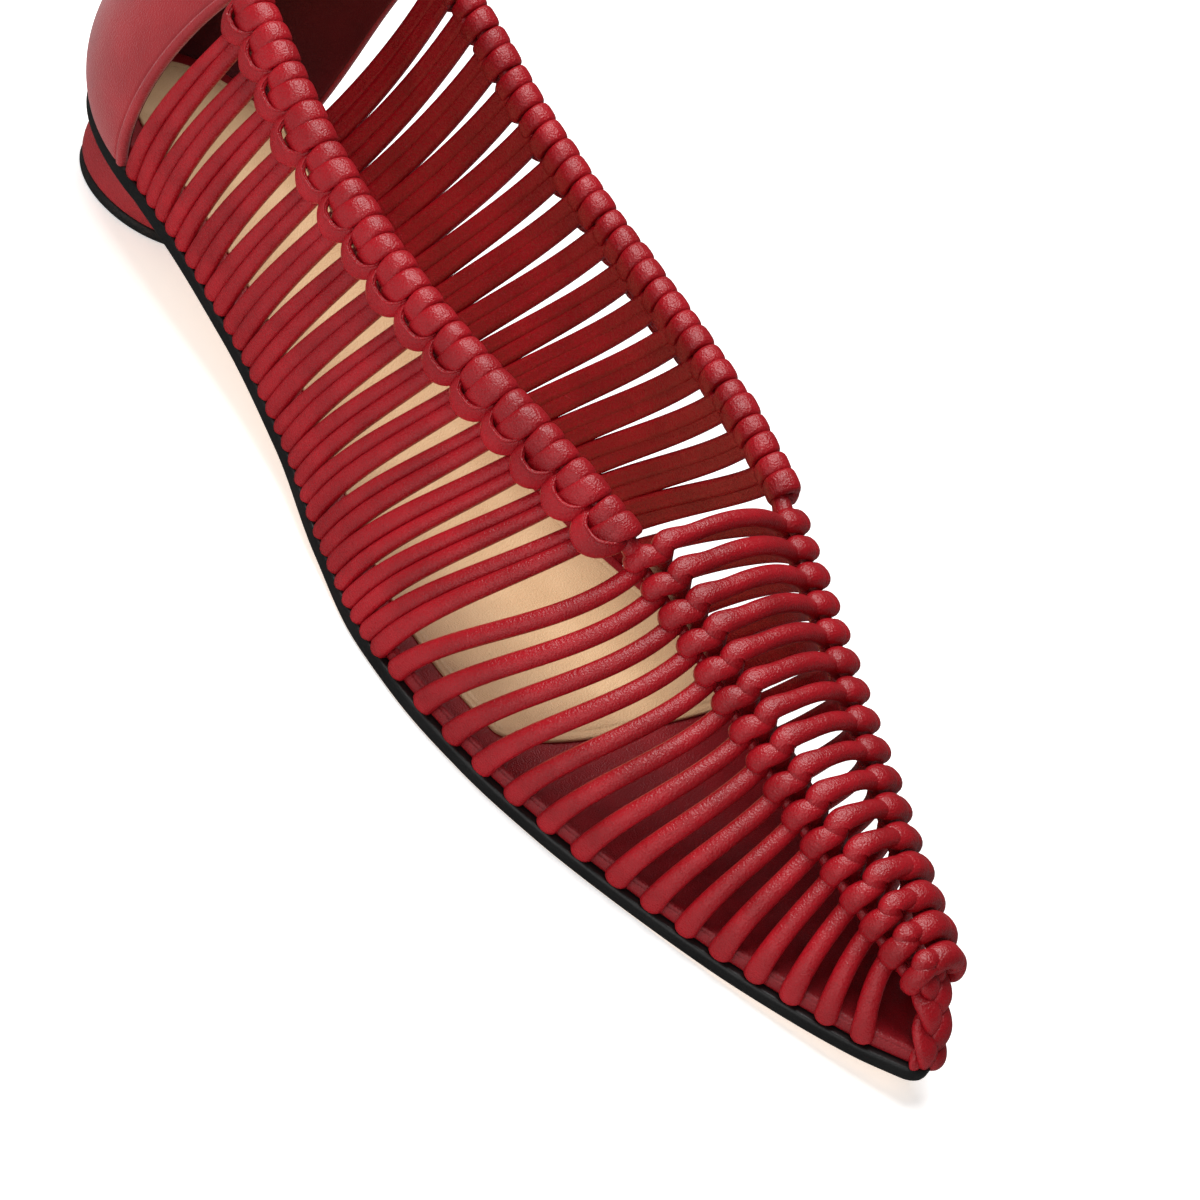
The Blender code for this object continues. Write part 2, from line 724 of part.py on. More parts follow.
def toe_braid(sheet, top):
    """The braid that closes the toe, from the last knots down to the tip of the sole."""
    foot_z = foot_height(BRAID_BASE_X, BRAID_THICK)
    rows = [top]
    for share in BRAID_SHARES:
        row = []
        for column, number in enumerate(top):
            across = 2 * column / (len(top) - 1) - 1
            start = np.array(sheet.points[number])
            turn = across * pi / 3
            foot = np.array([BRAID_BASE_X - BRAID_BASE_HALF * (1 - cos(turn)),
                             BRAID_BASE_Y + BRAID_BASE_HALF * sin(turn), foot_z])
            out = np.array([cos(turn), sin(turn), 0.0])
            down = bent(start, lean_in(-out, 50) * (1, 1, -0.4), foot, -flare(foot, out), share)
            edge = abs(across) > 0.99
            thickness = CORD_EDGE_THICK if edge else BRAID_THICK
            row.append(sheet.point(("braid", share, column), down, thickness))
        rows.append(row)
    sheet.strips(rows)


def upper():
    """The corded upper as one wall: paired cords, rope, knots, cross cords and toe braid."""
    sheet = Sheet()
    walls = {side: Wall(side, CORD_THICK) for side in (LATERAL, MEDIAL)}
    throats = {side: side_pairs(sheet, wall) for side, wall in walls.items()}
    forepart(sheet, walls, throats)
    return sheet.solid("upper", RED_LEATHER)


def main():
    """Clear the scene and build every piece of the shoe."""
    for thing in list(bpy.data.objects):
        bpy.data.objects.remove(thing, do_unlink=True)
    collection = bpy.data.collections.new(NAME)
    bpy.context.scene.collection.children.link(collection)
    outsole()
    heel()
    top_piece()
    insole()
    sock_lining()
    counter()
    upper()


main()
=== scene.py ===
"""Looks of a right-foot flat shoe whose upper is made of red leather cords.

The frame is the CAD's own: toe towards +X, medial side towards +Y, floor at z = 0. Lengths below
are millimetres and angles degrees; a mesh is made in metres. Every shape is a function of two
parameters, worked out as whole arrays: an outline carried along a path, or a grid on a wall.
"""
from collections import namedtuple
from math import cos, pi, radians, sin

import bmesh
import bpy
import numpy as np
from mathutils import Matrix


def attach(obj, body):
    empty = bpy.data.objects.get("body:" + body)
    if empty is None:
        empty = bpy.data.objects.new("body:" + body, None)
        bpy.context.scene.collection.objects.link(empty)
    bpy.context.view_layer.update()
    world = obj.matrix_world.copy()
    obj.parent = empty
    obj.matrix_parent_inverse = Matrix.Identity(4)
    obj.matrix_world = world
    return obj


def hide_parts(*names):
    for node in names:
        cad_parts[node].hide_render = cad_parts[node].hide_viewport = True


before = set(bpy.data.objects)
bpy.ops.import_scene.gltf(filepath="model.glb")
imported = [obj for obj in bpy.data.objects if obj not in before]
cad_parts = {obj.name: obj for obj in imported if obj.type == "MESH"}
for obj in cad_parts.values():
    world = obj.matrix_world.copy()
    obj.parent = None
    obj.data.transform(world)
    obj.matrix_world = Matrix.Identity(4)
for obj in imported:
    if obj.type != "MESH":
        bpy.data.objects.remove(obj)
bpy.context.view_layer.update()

MM = 0.001
SEED = 11
LATERAL = -1
MEDIAL = 1
SIDES = (LATERAL, MEDIAL)
UP = np.array([0.0, 0.0, 1.0])
FORWARD = np.array([1.0, 0.0, 0.0])
# The tables count x from the middle of the sole, and the frame's origin is under the whole shoe.
ORIGIN_SHIFT_X = 1.7

# Sole: x, distance of the lateral edge, distance of the medial edge from the centre line.
SOLE_ROWS = np.array([
    (-97.0, 21.5, 28.5), (-86.0, 22.8, 28.6), (-62.0, 23.8, 27.0), (-38.0, 26.9, 26.0),
    (-15.0, 33.4, 28.4), (9.0, 39.0, 34.0), (23.0, 40.0, 37.6), (38.0, 38.8, 39.6),
    (56.0, 34.9, 37.4), (80.0, 26.4, 29.8), (104.0, 16.6, 19.2), (121.0, 8.4, 10.0),
    (129.0, 3.5, 3.9),
])
# Underside of the sole: x, height.
UNDER_ROWS = np.array([
    (-132.5, 13.5), (-90.0, 13.5), (-62.0, 9.8), (-38.0, 5.4), (-15.0, 1.7), (4.0, 0.0),
    (72.0, 0.0), (92.0, 0.5), (106.0, 1.5), (120.0, 3.0), (131.0, 4.8),
])
SEAT_X, SEAT_Y, SEAT_LENGTH, SEAT_HALF_WIDTH = -97.0, 3.5, 35.5, 25.0
TOE_X, TOE_Y, TOE_RADIUS, TOE_START = 126.4, 0.2, 4.5, 35.0
SOLE_THICK = 3.0
FEATHER_INSET = 2.9
CLEARANCE = 0.3
# Points of a flat piece's plan round the heel, along the side and round the toe, and its columns.
PLAN_POINTS, PLATE_COLUMNS = (60, 260, 30), 12
# Points of the lines that a wall stands on and reaches up to.
LINE_POINTS = (200, 600, 80)
# A face of the sole that looks down more steeply than this is underside.
DOWNWARD = -0.9

# Heel block and its wearing piece: height, radius.
HEEL_X, HEEL_Y = -110.0, 5.0
HEEL_ROWS = np.array([
    (13.2, 0.0), (13.2, 15.6), (13.0, 16.4), (11.8, 17.7), (9.0, 18.8), (6.2, 19.1), (4.0, 18.8),
    (2.9, 18.4), (2.5, 17.8), (2.5, 0.0),
])
TOP_PIECE_ROWS = np.array([
    (2.3, 0.0), (2.3, 17.6), (2.1, 18.0), (0.5, 18.0), (0.15, 17.8), (0.0, 17.4), (0.0, 0.0),
])
HEEL_SIDES, HEEL_WALL_POINTS = 128, 80

# Insole board and sock lining.
INSOLE_THICK, INSOLE_INSET = 3.2, 1.6
SOCK_THICK, SOCK_FRONT_X, SOCK_TILT = 0.8, 44.6, 0.06
SOCK_INSET, SOCK_BACK_INSET = {LATERAL: 7.5, MEDIAL: 5.8}, 6.6
SOCK_CORNER_X = {LATERAL: 35.0, MEDIAL: 39.5}
SOCK_SQUARE = {LATERAL: 0.85, MEDIAL: 0.5}
SOCK_POINTS, SOCK_FRONT_POINTS, SOCK_COLUMNS = (60, 200, 0), 40, 16

# Collar, the top inside edge of the side walls: x, lateral, medial, height, lean.
COLLAR_ROWS = np.array([
    (-126.0, 9.0, 19.0, 71.0, 13.0), (-96.0, 18.4, 29.0, 69.7, 10.0), (-86.0, 19.8, 29.5, 67.6, 9.0),
    (-61.0, 21.7, 31.0, 60.8, 7.0), (-35.0, 22.0, 31.6, 56.6, 7.0), (-10.0, 20.4, 30.2, 54.5, 11.0),
    (8.0, 17.6, 27.8, 52.8, 20.0), (27.0, 14.2, 24.5, 49.0, 38.0), (32.0, 13.0, 23.6, 47.2, 46.0),
])
COLLAR_BACK_X, COLLAR_BACK_Y, COLLAR_BACK_LENGTH = -96.0, 4.0, 30.0
# Knots, the middle of each row on the inside of the upper: x, lateral, medial, height, lean.
KNOT_ROWS = np.array([
    (33.5, 13.6, 25.0, 43.0, 57.0), (56.0, 9.9, 20.3, 35.8, 55.0), (79.0, 6.8, 15.4, 28.3, 52.0),
    (96.0, 3.9, 11.0, 23.6, 48.0), (118.0, 0.4, 5.2, 18.6, 45.0),
])
MEDIAL_RISE = 1.2
# How far the wall leans out at the sole: x, angle.
FLARE_ROWS = np.array([
    (-131.0, 30.0), (-104.0, 26.0), (-80.0, 18.0), (-50.0, 14.0), (131.0, 13.0),
])
HANDLE = 0.36
# Columns of height and lean in the collar's and the knots' tables.
HEIGHT, LEAN = 3, 4

# Cords in pairs along the sides.
PAIRS, PAIR_BASE_START, CORD_PITCH = 15, -102.5, 3.82
LOOP_START, LOOP_PITCH, LOOP_AHEAD, LOOP_FADE = -93.5, 8.46, 1.7, 3.0
PAIR_HALF_APART, PAIR_OVER = 1.15, 0.4
CORD_FOOT_HALF = 2.0
CORD_HEAD_HALF = {LATERAL: 1.45, MEDIAL: 1.85}
CORD_HALF_THICK = 1.5
CORD_STATIONS, CORD_SIDES = 34, 20
# A cord's foot goes on a little below the wall's own foot, into the sole's top.
FOOT_SHARE = -0.02
# Medial cords stand further back on the sole than lateral ones, most of all at the throat.
MEDIAL_BASE_BACK, MEDIAL_KNOT_AHEAD, MEDIAL_KNOT_FADE = 10.8, 2.0, 3.6
MEDIAL_BACK_POWER = 1.5
# Cords vary a little in place, bow and width, tuck in at the foot and end below the rope.
PAIR_SCATTER, PAIR_BOW, PAIR_VARIES = 0.12, 0.22, 0.05
PAIR_TUCK, PAIR_TUCK_REACH, PAIR_END_BELOW = 0.25, 2.0, 3.0
CORD_LIFT, CORD_NOTCH, CORD_NARROWING = 0.3, 0.3, 0.8
# Lengths over which a cord's first and last end round off, across it and through it.
PAIR_ENDS_WIDE, PAIR_ENDS_THICK = (1.3, 1.0), (0.6, 1.0)

# Collar rope, the wraps round it and the loop under each pair of wraps.
ROPE_DROP, ROPE_OUT = 3.1, 2.9
ROPE_CORE_RADIUS, ROPE_BEND = 1.6, 9.0
WRAP_HALF_WIDE, WRAP_HALF_THICK, WRAP_APART, WRAP_SLANT = 2.35, 1.3, 4.15, 1.5
# The wraps of a pair come out of their loop close together, one over the other, and fan out.
WRAP_FAN, WRAP_FAN_END, WRAP_OVER = 0.5, 0.42, 0.7
# The second wrap of a pair is wider and goes deeper into the loop than the first.
WRAP_DEEPER, WRAP_SHORTER, WRAP_WIDER = 1.1, 0.8, 0.14
WRAP_STATIONS, WRAP_SIDES, WRAP_POWER, WRAP_ENDS = 34, 20, 0.68, (2.0, 2.0)
WRAP_VARIES, WRAP_SLANT_VARIES, WRAP_SLANT_MIDDLE = 0.04, 0.25, 0.4
# Below a level a wrap is in its loop, and its ends are smaller than its middle.
WRAP_LOOP_LEVEL, WRAP_END_SIZE, WRAP_SWELL_PACE = -1.0, 0.8, 1.3
LOOP_HALF_THICK, LOOP_TILT, LOOP_TURN, LOOP_TURN_WIDE = 0.85, 22.0, 0.7, 8.4
LOOP_STATIONS, LOOP_SIDES, LOOP_POWER, LOOP_ENDS, LOOP_VARIES = 48, 22, 0.75, (1.2, 1.2), 0.03
# Rolled edge of a loop: shares of the band's half width and thickness, and stations left off.
ROLL_RADIUS, ROLL_UP, ROLL_OFF, ROLL_TRIM, ROLL_SIDES, ROLL_ENDS = 0.3, 0.93, 0.5, 6, 8, (0.8, 0.8)
ROPE_STATIONS, ROPE_SIDES, ROPE_PAST_COUNTER, ROPE_GROWS, ROPE_ENDS = 160, 16, 0.3, 0.9, (1.5, 1.5)

# Single cords over the forepart and their knots.
SINGLES, SINGLE_BASE_START, SINGLE_BASE_PITCH, SINGLE_BASE_EASE = 15, 15.8, 8.3, 0.066
KNOT_START, KNOT_PITCH = 33.5, 5.65
SINGLE_FOOT_HALF = 2.45
SINGLE_HEAD_HALF = {LATERAL: 1.85, MEDIAL: 1.95}
SINGLE_LAST_BASE_X, KNOT_DRIFT = 121.0, 0.2
HOOP_POINTS = 60
SINGLE_LIFT, SINGLE_HALF_THICK, SINGLE_FOOT_THIN, SINGLE_PAST_KNOT = 1.65, 1.75, 0.35, 0.4
SINGLE_WIDE_FADE, SINGLE_THICK_FADE, SINGLE_VARIES = 7.0, 6.0, 0.04
SINGLE_TUCK, SINGLE_TUCK_REACH = 0.35, 3.2
SINGLE_ENDS_WIDE, SINGLE_ENDS_THICK = (1.6, 1.0), (0.7, 1.0)
SINGLE_STATIONS, FAR_STATIONS, SINGLE_SIDES = 44, 50, 18
# Small hood at the head of a medial cord.
FAR_FROM_KNOT, FAR_HOOD_LONG, FAR_HOOD_FADE, FAR_ENDS = 0.8, 3.0, 6.0, (2.4, 2.2)
FAR_HOOD_LIFT, FAR_HOOD_WIDE, FAR_HOOD_THICK = 1.9, 0.5, 0.3
# Room between the two rows of knots: what the knots take, a full knot's need, the least share.
ROOM_TAKEN, ROOM_FULL, ROOM_LEAST = 1.0, 13.0, 0.55
CROSS_STATIONS, CROSS_SIDES, CROSS_RUN_POINTS, CROSS_ENDS, CROSS_VARIES = 84, 20, 9, (1.5, 1.0), 0.03
CROSS_SHORT, CROSS_END_LIFT = 1.0, 1.95
LOBE_STATIONS, LOBE_SIDES, LOBE_VARIES, NEAR_LOBE_ENDS, FAR_LOBE_ENDS = 32, 22, 0.04, (2.0, 2.6), (2.6, 2.6)
CARRIER_POINTS, CARRIER_SIDES, CARRIER_LIFT, CARRIER_RADIUS, CARRIER_ENDS = 120, 14, 1.3, 1.15, (1.5, 1.5)
# Lengths round a knot's place at which its hoop is read.
KNOT_STEPS = np.array([[-0.5, 0.0, 0.5]])

# Counter.
COUNTER_THICK, COUNTER_BASE_X, COUNTER_TOP_X, COUNTER_EDGE_BEND = 2.0, -103.2, -97.0, 3
COUNTER_COLUMNS, COUNTER_SHARES = 160, 60
COUNTER_FOOT_OUT, COUNTER_SWELL = 1.7, 1.7
# Loss of both at the front edges and the power by which it comes; the swell's power up the wall.
COUNTER_FOOT_LOSS, COUNTER_FOOT_POWER, COUNTER_SWELL_LOSS, COUNTER_SWELL_POWER = 0.3, 8, 0.7, 5
COUNTER_SWELL_LOW, COUNTER_TURN_POWER = 0.7, 1.25
LINING_TRIM, LINING_THICK, LINING_ROUND = 3, 0.3, 0.5
RIM_WIDE, RIM_RAISE, RIM_GROOVE, EDGE_ROUND = 1.7, 0.28, 0.3, 0.9
RIM_SOFT, GROOVE_IN, GROOVE_WIDE = 0.12, 0.25, 0.28

# Camera: place round the shoe, roll, distance and focal length fitted to the photograph's view.
VIEW_AZIMUTH, VIEW_ELEVATION, VIEW_ROLL = 25.3, 34.7, -34.5
VIEW_DISTANCE, VIEW_TARGET = 919.1, np.array([27.0, -3.7, 23.6])
FOCAL_PIXELS, IMAGE_PIXELS, SENSOR_WIDTH = 4943.0, 1200.0, 36.0
# Stage, in metres.
FLOOR_HALF, LIGHT_TARGET, LIGHT_TOP = 4.0, np.array([0.0, 0.0, 0.03]), np.array([0.0, 1.0, 0.001])
# Sockets of a colour mix.
MIX_SHARE, MIX_FIRST, MIX_SECOND, MIX_RESULT = 0, 6, 7, 2

Form = namedtuple("Form", "points faces marks")
Cord = namedtuple("Cord", "path wide out")


def unit(vectors):
    """Vectors divided by their lengths."""
    return vectors / np.linalg.norm(vectors, axis=-1, keepdims=True)


def headings(paths):
    """Direction of each path at each of its points."""
    return unit(np.gradient(paths, axis=-2))


def square_to(ways, ahead):
    """Directions turned square to others: what they share with those is taken off."""
    return unit(ways - np.sum(ways * ahead, axis=-1, keepdims=True) * ahead)


def facing(path, face):
    """A cord whose outer face turns as near to given directions as its path lets it."""
    ahead = headings(path)
    out = square_to(face, ahead)
    return Cord(path, np.cross(out, ahead), out)


def eased(share):
    """Share from 0 to 1 that starts and ends level: three squares less two cubes."""
    return share ** 2 * (3 - 2 * share)


def rounded(distance, radius):
    """Factor that rises from 0 to 1 by a quarter ellipse over a distance from an edge."""
    return np.sqrt(1 - (1 - np.clip(distance / radius, 0, 1)) ** 2)


def varied(random, spread, count):
    """A factor for each of several cords: one, with a normal spread."""
    return 1 + spread * random.normal(0, 1, (count, 1))


def read_at(values, places, at):
    """Rows of values kept at places along a line, read at others in straight steps."""
    return np.stack([np.interp(at, places, part) for part in values.T], axis=-1)


def through(rows, column, at):
    """A table's column read at x: cubic pieces whose slope at an inner row is the harmonic mean
    of the slopes on both sides, or zero where they differ in sign, so nothing overshoots."""
    places = rows[:, 0]
    values = rows[:, column]
    steps = np.diff(places)
    slopes = np.diff(values) / steps
    same_way = slopes[:-1] * slopes[1:] > 0
    both = np.where(same_way, slopes[:-1] + slopes[1:], 1.0)
    inner = np.where(same_way, 2 * slopes[:-1] * slopes[1:] / both, 0.0)
    tangents = np.concatenate([slopes[:1], inner, slopes[-1:]])
    at = np.clip(at, places[0], places[-1])
    left = np.clip(np.searchsorted(places, at) - 1, 0, len(steps) - 1)
    step = steps[left]
    t = (at - places[left]) / step
    start = (1 + 2 * t) * (1 - t) ** 2 * values[left] + t * (1 - t) ** 2 * step * tangents[left]
    end = t * t * (3 - 2 * t) * values[left + 1] - t * t * (1 - t) * step * tangents[left + 1]
    return start + end


def spline(points, count):
    """A smooth line through points, read at even places: each piece is the cubic that leaves a
    point along half the step between its two neighbours."""
    points = np.asarray(points, dtype=float)
    first = 2 * points[..., :1, :] - points[..., 1:2, :]
    last = 2 * points[..., -1:, :] - points[..., -2:-1, :]
    padded = np.concatenate([first, points, last], axis=-2)
    place = np.linspace(0, points.shape[-2] - 1, count)
    left = np.minimum(place.astype(int), points.shape[-2] - 2)
    t = (place - left)[:, None]
    a, b, c, d = (padded[..., left + shift, :] for shift in range(4))
    bend = (2 * a - 5 * b + 4 * c - d) * t ** 2 + (3 * b - a - 3 * c + d) * t ** 3
    return b + 0.5 * ((c - a) * t + bend)


def lengths_along(paths):
    """Length from the start of each path to each of its points."""
    steps = np.linalg.norm(np.diff(paths, axis=-2), axis=-1)
    return np.concatenate([np.zeros(steps.shape[:-1] + (1,)), np.cumsum(steps, axis=-1)], axis=-1)


def eased_stations(count):
    """Shares from 0 to 1, closer together at both ends by a cosine."""
    return (1 - np.cos(np.linspace(0, pi, count))) / 2


def wall_shares(count):
    """Shares of the way up a wall from a little below its foot, closer together at both ends."""
    return FOOT_SHARE + (1 - FOOT_SHARE) * eased_stations(count)


def rounded_ends(paths, first, last):
    """Factor that rounds both ends of a cord off over the first and last lengths."""
    along = lengths_along(paths)
    return rounded(along, first) * rounded(along[..., -1:] - along, last)


def foot_tuck(depth, reach, from_foot):
    """How far a cord tucks in near its foot: a parabola over its reach."""
    return depth * np.clip(1 - from_foot / reach, 0, 1) ** 2


def sole_under(x):
    """Height of the sole's underside."""
    return through(UNDER_ROWS, 1, x)


def side_column(side):
    """Column of the tables for one side."""
    return 1 if side == LATERAL else 2


class Line:
    """One side's line from the back of the shoe to its toe, with its directions along and out."""

    def __init__(self, plan, along, heights, side):
        self.out = side * np.column_stack([-along[:, 1], along[:, 0], np.zeros(len(plan))])
        self.points = np.column_stack([plan, heights])
        self.along = headings(self.points)
        self.length = lengths_along(self.points)

    def read(self, values, length):
        """Values kept at the line's points, read at lengths from the back."""
        return read_at(values, self.length, length)

    def at(self, length):
        """Points, outward and forward directions at lengths from the back."""
        return (self.read(self.points, length), unit(self.read(self.out, length)),
                unit(self.read(self.along, length)))

    def length_at(self, x):
        """Length from the back to a place along the shoe."""
        return np.interp(x, self.points[:, 0], self.length)


def sole_plan(side, heel_count, side_count, toe_count, last_x=None):
    """Half the sole's outline and its directions: an elliptic seat, the table, a round tip."""
    heel = np.linspace(0, pi / 2, heel_count, endpoint=False)
    toe = np.linspace(radians(TOE_START), pi / 2, toe_count)
    middle = np.linspace(SEAT_X, SOLE_ROWS[-1, 0] if last_x is None else last_x, side_count)
    parts = [
        np.column_stack([SEAT_X - SEAT_LENGTH * np.cos(heel),
                         SEAT_Y + side * SEAT_HALF_WIDTH * np.sin(heel)]),
        np.column_stack([middle, side * through(SOLE_ROWS, side_column(side), middle)]),
    ]
    if last_x is None:
        parts[1] = parts[1][:-1]
        parts.append(np.column_stack([TOE_X + TOE_RADIUS * np.sin(toe),
                                      TOE_Y + side * TOE_RADIUS * np.cos(toe)]))
    plan = np.concatenate(parts)
    along = headings(plan)
    along[0] = (0.0, side)
    if last_x is None:
        along[-1] = (0.0, -side)
    return plan, along


def inset_plan(plan, along, side, inset):
    """A plan line moved inwards by one distance."""
    return plan - inset * side * np.column_stack([-along[:, 1], along[:, 0]])


def foot_height(x, thick):
    """Height of a wall's inside foot, whose outer edge just clears the sole."""
    lean = np.radians(through(FLARE_ROWS, 1, x))
    return sole_under(x) + SOLE_THICK + CLEARANCE + thick * np.sin(lean)


def feather_line(side):
    """Where the inside of the upper meets the sole: the sole's outline moved in."""
    plan, along = sole_plan(side, *LINE_POINTS)
    plan = inset_plan(plan, along, side, FEATHER_INSET)
    return Line(plan, along, foot_height(plan[:, 0], 2 * CORD_HALF_THICK), side)


def collar_line(side):
    """Top edge of the upper's inside: a quarter ellipse round the back, then the table."""
    column = side_column(side)
    angles = np.linspace(0, pi / 2, LINE_POINTS[0], endpoint=False)
    back_half = through(COLLAR_ROWS, column, COLLAR_BACK_X) - side * COLLAR_BACK_Y
    places = np.linspace(COLLAR_BACK_X, COLLAR_ROWS[-1, 0], LINE_POINTS[1])
    plan = np.concatenate([
        np.column_stack([COLLAR_BACK_X - COLLAR_BACK_LENGTH * np.cos(angles),
                         COLLAR_BACK_Y + side * back_half * np.sin(angles)]),
        np.column_stack([places, side * through(COLLAR_ROWS, column, places)]),
    ])
    along = headings(plan)
    along[0] = (0.0, side)
    return Line(plan, along, through(COLLAR_ROWS, HEIGHT, plan[:, 0]), side)


FEATHER = {side: feather_line(side) for side in SIDES}
COLLAR = {side: collar_line(side) for side in SIDES}


def bent(start, start_way, end, end_way, shares, drift=None):
    """Cubic curves, lines by shares: each leaves along one direction and arrives along another.
    It comes forward evenly, or with a drift it arrives going back by that share of its reach."""
    reach = HANDLE * np.linalg.norm(end - start, axis=-1, keepdims=True)
    forward = (end - start) * FORWARD / 3
    first = start + reach * start_way + forward
    second = end - reach * end_way - (forward if drift is None else -drift * reach * FORWARD)
    t = shares[..., None]
    return ((1 - t) ** 3 * start[..., None, :] + 3 * t * (1 - t) ** 2 * first[..., None, :]
            + 3 * t * t * (1 - t) * second[..., None, :] + t ** 3 * end[..., None, :])


def flare_way(start, out):
    """Direction in which a wall leaves the sole."""
    angle = np.radians(through(FLARE_ROWS, 1, start[..., 0]))[..., None]
    return np.cos(angle) * UP + np.sin(angle) * out


def lean_way(out, degrees):
    """Direction of a wall that leans in over the foot."""
    angle = np.radians(degrees)[..., None]
    return np.cos(angle) * UP - np.sin(angle) * out


def wall_lines(side, base_length, top_length, shares):
    """Lines up a wall from lengths along the sole to lengths along the collar, and the forward
    direction at every point, which turns evenly from the sole's to the collar's."""
    start, start_out, start_along = FEATHER[side].at(base_length)
    end, end_out, end_along = COLLAR[side].at(top_length)
    lean = through(COLLAR_ROWS, LEAN, end[..., 0])
    paths = bent(start, flare_way(start, start_out), end, lean_way(end_out, lean), shares)
    t = shares[..., None]
    along = unit((1 - t) * start_along[..., None, :] + t * end_along[..., None, :])
    return paths, along


def carried(paths, along, lift, turn=1):
    """A cord's middle line lifted off a wall, with its directions across and out of the wall.
    Out is the cross product of the forward direction and the line's own direction."""
    out = turn * unit(np.cross(along, headings(paths)))
    return facing(paths + lift[..., None] * out, out)


def cord_outline(sides, power=0.9, flat=0.8, notch=0.0):
    """Outline of a cord: cosine and sine to a power below one, which squares the circle a
    little; the inner half is pressed flatter, with a notch where the strip's edges meet."""
    angle = 2 * pi * np.arange(sides) / sides
    across = np.sign(np.cos(angle)) * np.abs(np.cos(angle)) ** power
    rise = np.sign(np.sin(angle)) * np.abs(np.sin(angle)) ** power
    inner = np.clip(-np.sin(angle), 0, 1)
    rise = np.where(rise < 0, flat * rise * (1 - notch * inner ** 40), rise)
    return across, rise


def round_outline(sides):
    """Outline of a round cord."""
    return cord_outline(sides, power=1.0, flat=1.0)


def loft(rings, along, ends=None):
    """Closed outlines joined along a path. rings is lengths by stations by points; with ends,
    both ends close in a point. A mark is (length along, length round) in millimetres."""
    pieces, stations, count = rings.shape[:3]
    around = np.linalg.norm(np.roll(rings, -1, axis=2) - rings, axis=-1).sum(axis=2)
    size = stations * count + (2 if ends is not None else 0)
    number = (np.arange(pieces)[:, None, None] * size
              + np.arange(stations)[None, :, None] * count + np.arange(count))
    after = np.roll(number, -1, axis=2)
    quads = np.stack([number[:, :-1], after[:, :-1], after[:, 1:], number[:, 1:]], axis=-1)
    column = np.arange(count) / count
    step = 1 / count
    u = along[..., None] + 0 * column
    v = around.mean(axis=1)[:, None, None] * column + 0 * u
    w = v + (around.mean(axis=1) * step)[:, None, None]
    marks = np.stack([np.stack([u[:, :-1], v[:, :-1]], -1), np.stack([u[:, :-1], w[:, :-1]], -1),
                      np.stack([u[:, 1:], w[:, 1:]], -1), np.stack([u[:, 1:], v[:, 1:]], -1)], axis=3)
    faces = [quads.reshape(-1, 4)]
    uv = [marks.reshape(-1, 4, 2)]
    points = rings.reshape(pieces, -1, 3)
    if ends is not None:
        points = np.concatenate([points, ends], axis=1)
        for pole, row, order in ((0, 0, (0, 2, 1)), (1, -1, (0, 1, 2))):
            tip = np.arange(pieces)[:, None] * size + stations * count + pole + 0 * number[:, row]
            fan = np.stack([tip, number[:, row], after[:, row]], axis=-1)[..., list(order)]
            at = np.stack([u[:, row], v[:, row]], -1)
            next_at = np.stack([u[:, row], w[:, row]], -1)
            fan_marks = np.stack([(at + next_at) / 2, at, next_at], axis=2)[:, :, list(order)]
            faces.append(fan.reshape(-1, 3))
            uv.append(fan_marks.reshape(-1, 3, 2))
    return Form(points.reshape(-1, 3), faces, uv)


def cords(cord, half_wide, half_thick, outline):
    """Cords: at each station of a path the outline's cosine goes half_wide across and its sine
    half_thick out; each end closes in a point on the path."""
    across, rise = outline
    half_wide = np.broadcast_to(half_wide, cord.path.shape[:2])
    half_thick = np.broadcast_to(half_thick, cord.path.shape[:2])
    rings = (cord.path[:, 1:-1, None]
             + (half_wide[:, 1:-1, None] * across)[..., None] * cord.wide[:, 1:-1, None]
             + (half_thick[:, 1:-1, None] * rise)[..., None] * cord.out[:, 1:-1, None])
    return loft(rings, lengths_along(cord.path)[:, 1:-1], cord.path[:, [0, -1]])


def joined(forms):
    """Several forms as one."""
    starts = np.cumsum([0] + [len(form.points) for form in forms[:-1]])
    faces = [part + start for form, start in zip(forms, starts) for part in form.faces]
    marks = [part for form in forms for part in form.marks]
    return Form(np.concatenate([form.points for form in forms]), faces, marks)


def piece(name, form, material, slot, *nodes, weld=False):
    """A form as an object that rides on the shoe and stands for CAD nodes."""
    mesh = bpy.data.meshes.new(name)
    points = (form.points + ORIGIN_SHIFT_X * FORWARD) * MM
    mesh.vertices.add(len(points))
    mesh.vertices.foreach_set("co", points.ravel())
    corners = np.concatenate([part.ravel() for part in form.faces])
    sizes = np.concatenate([np.full(len(part), part.shape[1]) for part in form.faces])
    mesh.loops.add(len(corners))
    mesh.loops.foreach_set("vertex_index", corners)
    mesh.polygons.add(len(sizes))
    mesh.polygons.foreach_set("loop_start", np.cumsum(sizes) - sizes)
    mesh.polygons.foreach_set("use_smooth", np.ones(len(sizes), dtype=bool))
    layer = mesh.uv_layers.new(name="along")
    layer.uv.foreach_set("vector", np.concatenate([part.reshape(-1, 2) for part in form.marks]).ravel())
    mesh.update(calc_edges=True)
    if weld:
        work = bmesh.new()
        work.from_mesh(mesh)
        bmesh.ops.remove_doubles(work, verts=work.verts, dist=2e-6)
        bmesh.ops.dissolve_degenerate(work, edges=work.edges, dist=1e-7)
        work.to_mesh(mesh)
        work.free()
    mesh.materials.append(material)
    thing = bpy.data.objects.new(name, mesh)
    bpy.context.scene.collection.objects.link(thing)
    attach(thing, "root")
    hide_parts(*nodes)
    return thing


def cord_piece(name, *forms):
    """Cords as one object that stands for the upper."""
    return piece(name, joined(forms), CORD_LEATHER, "cord_leather", "upper")


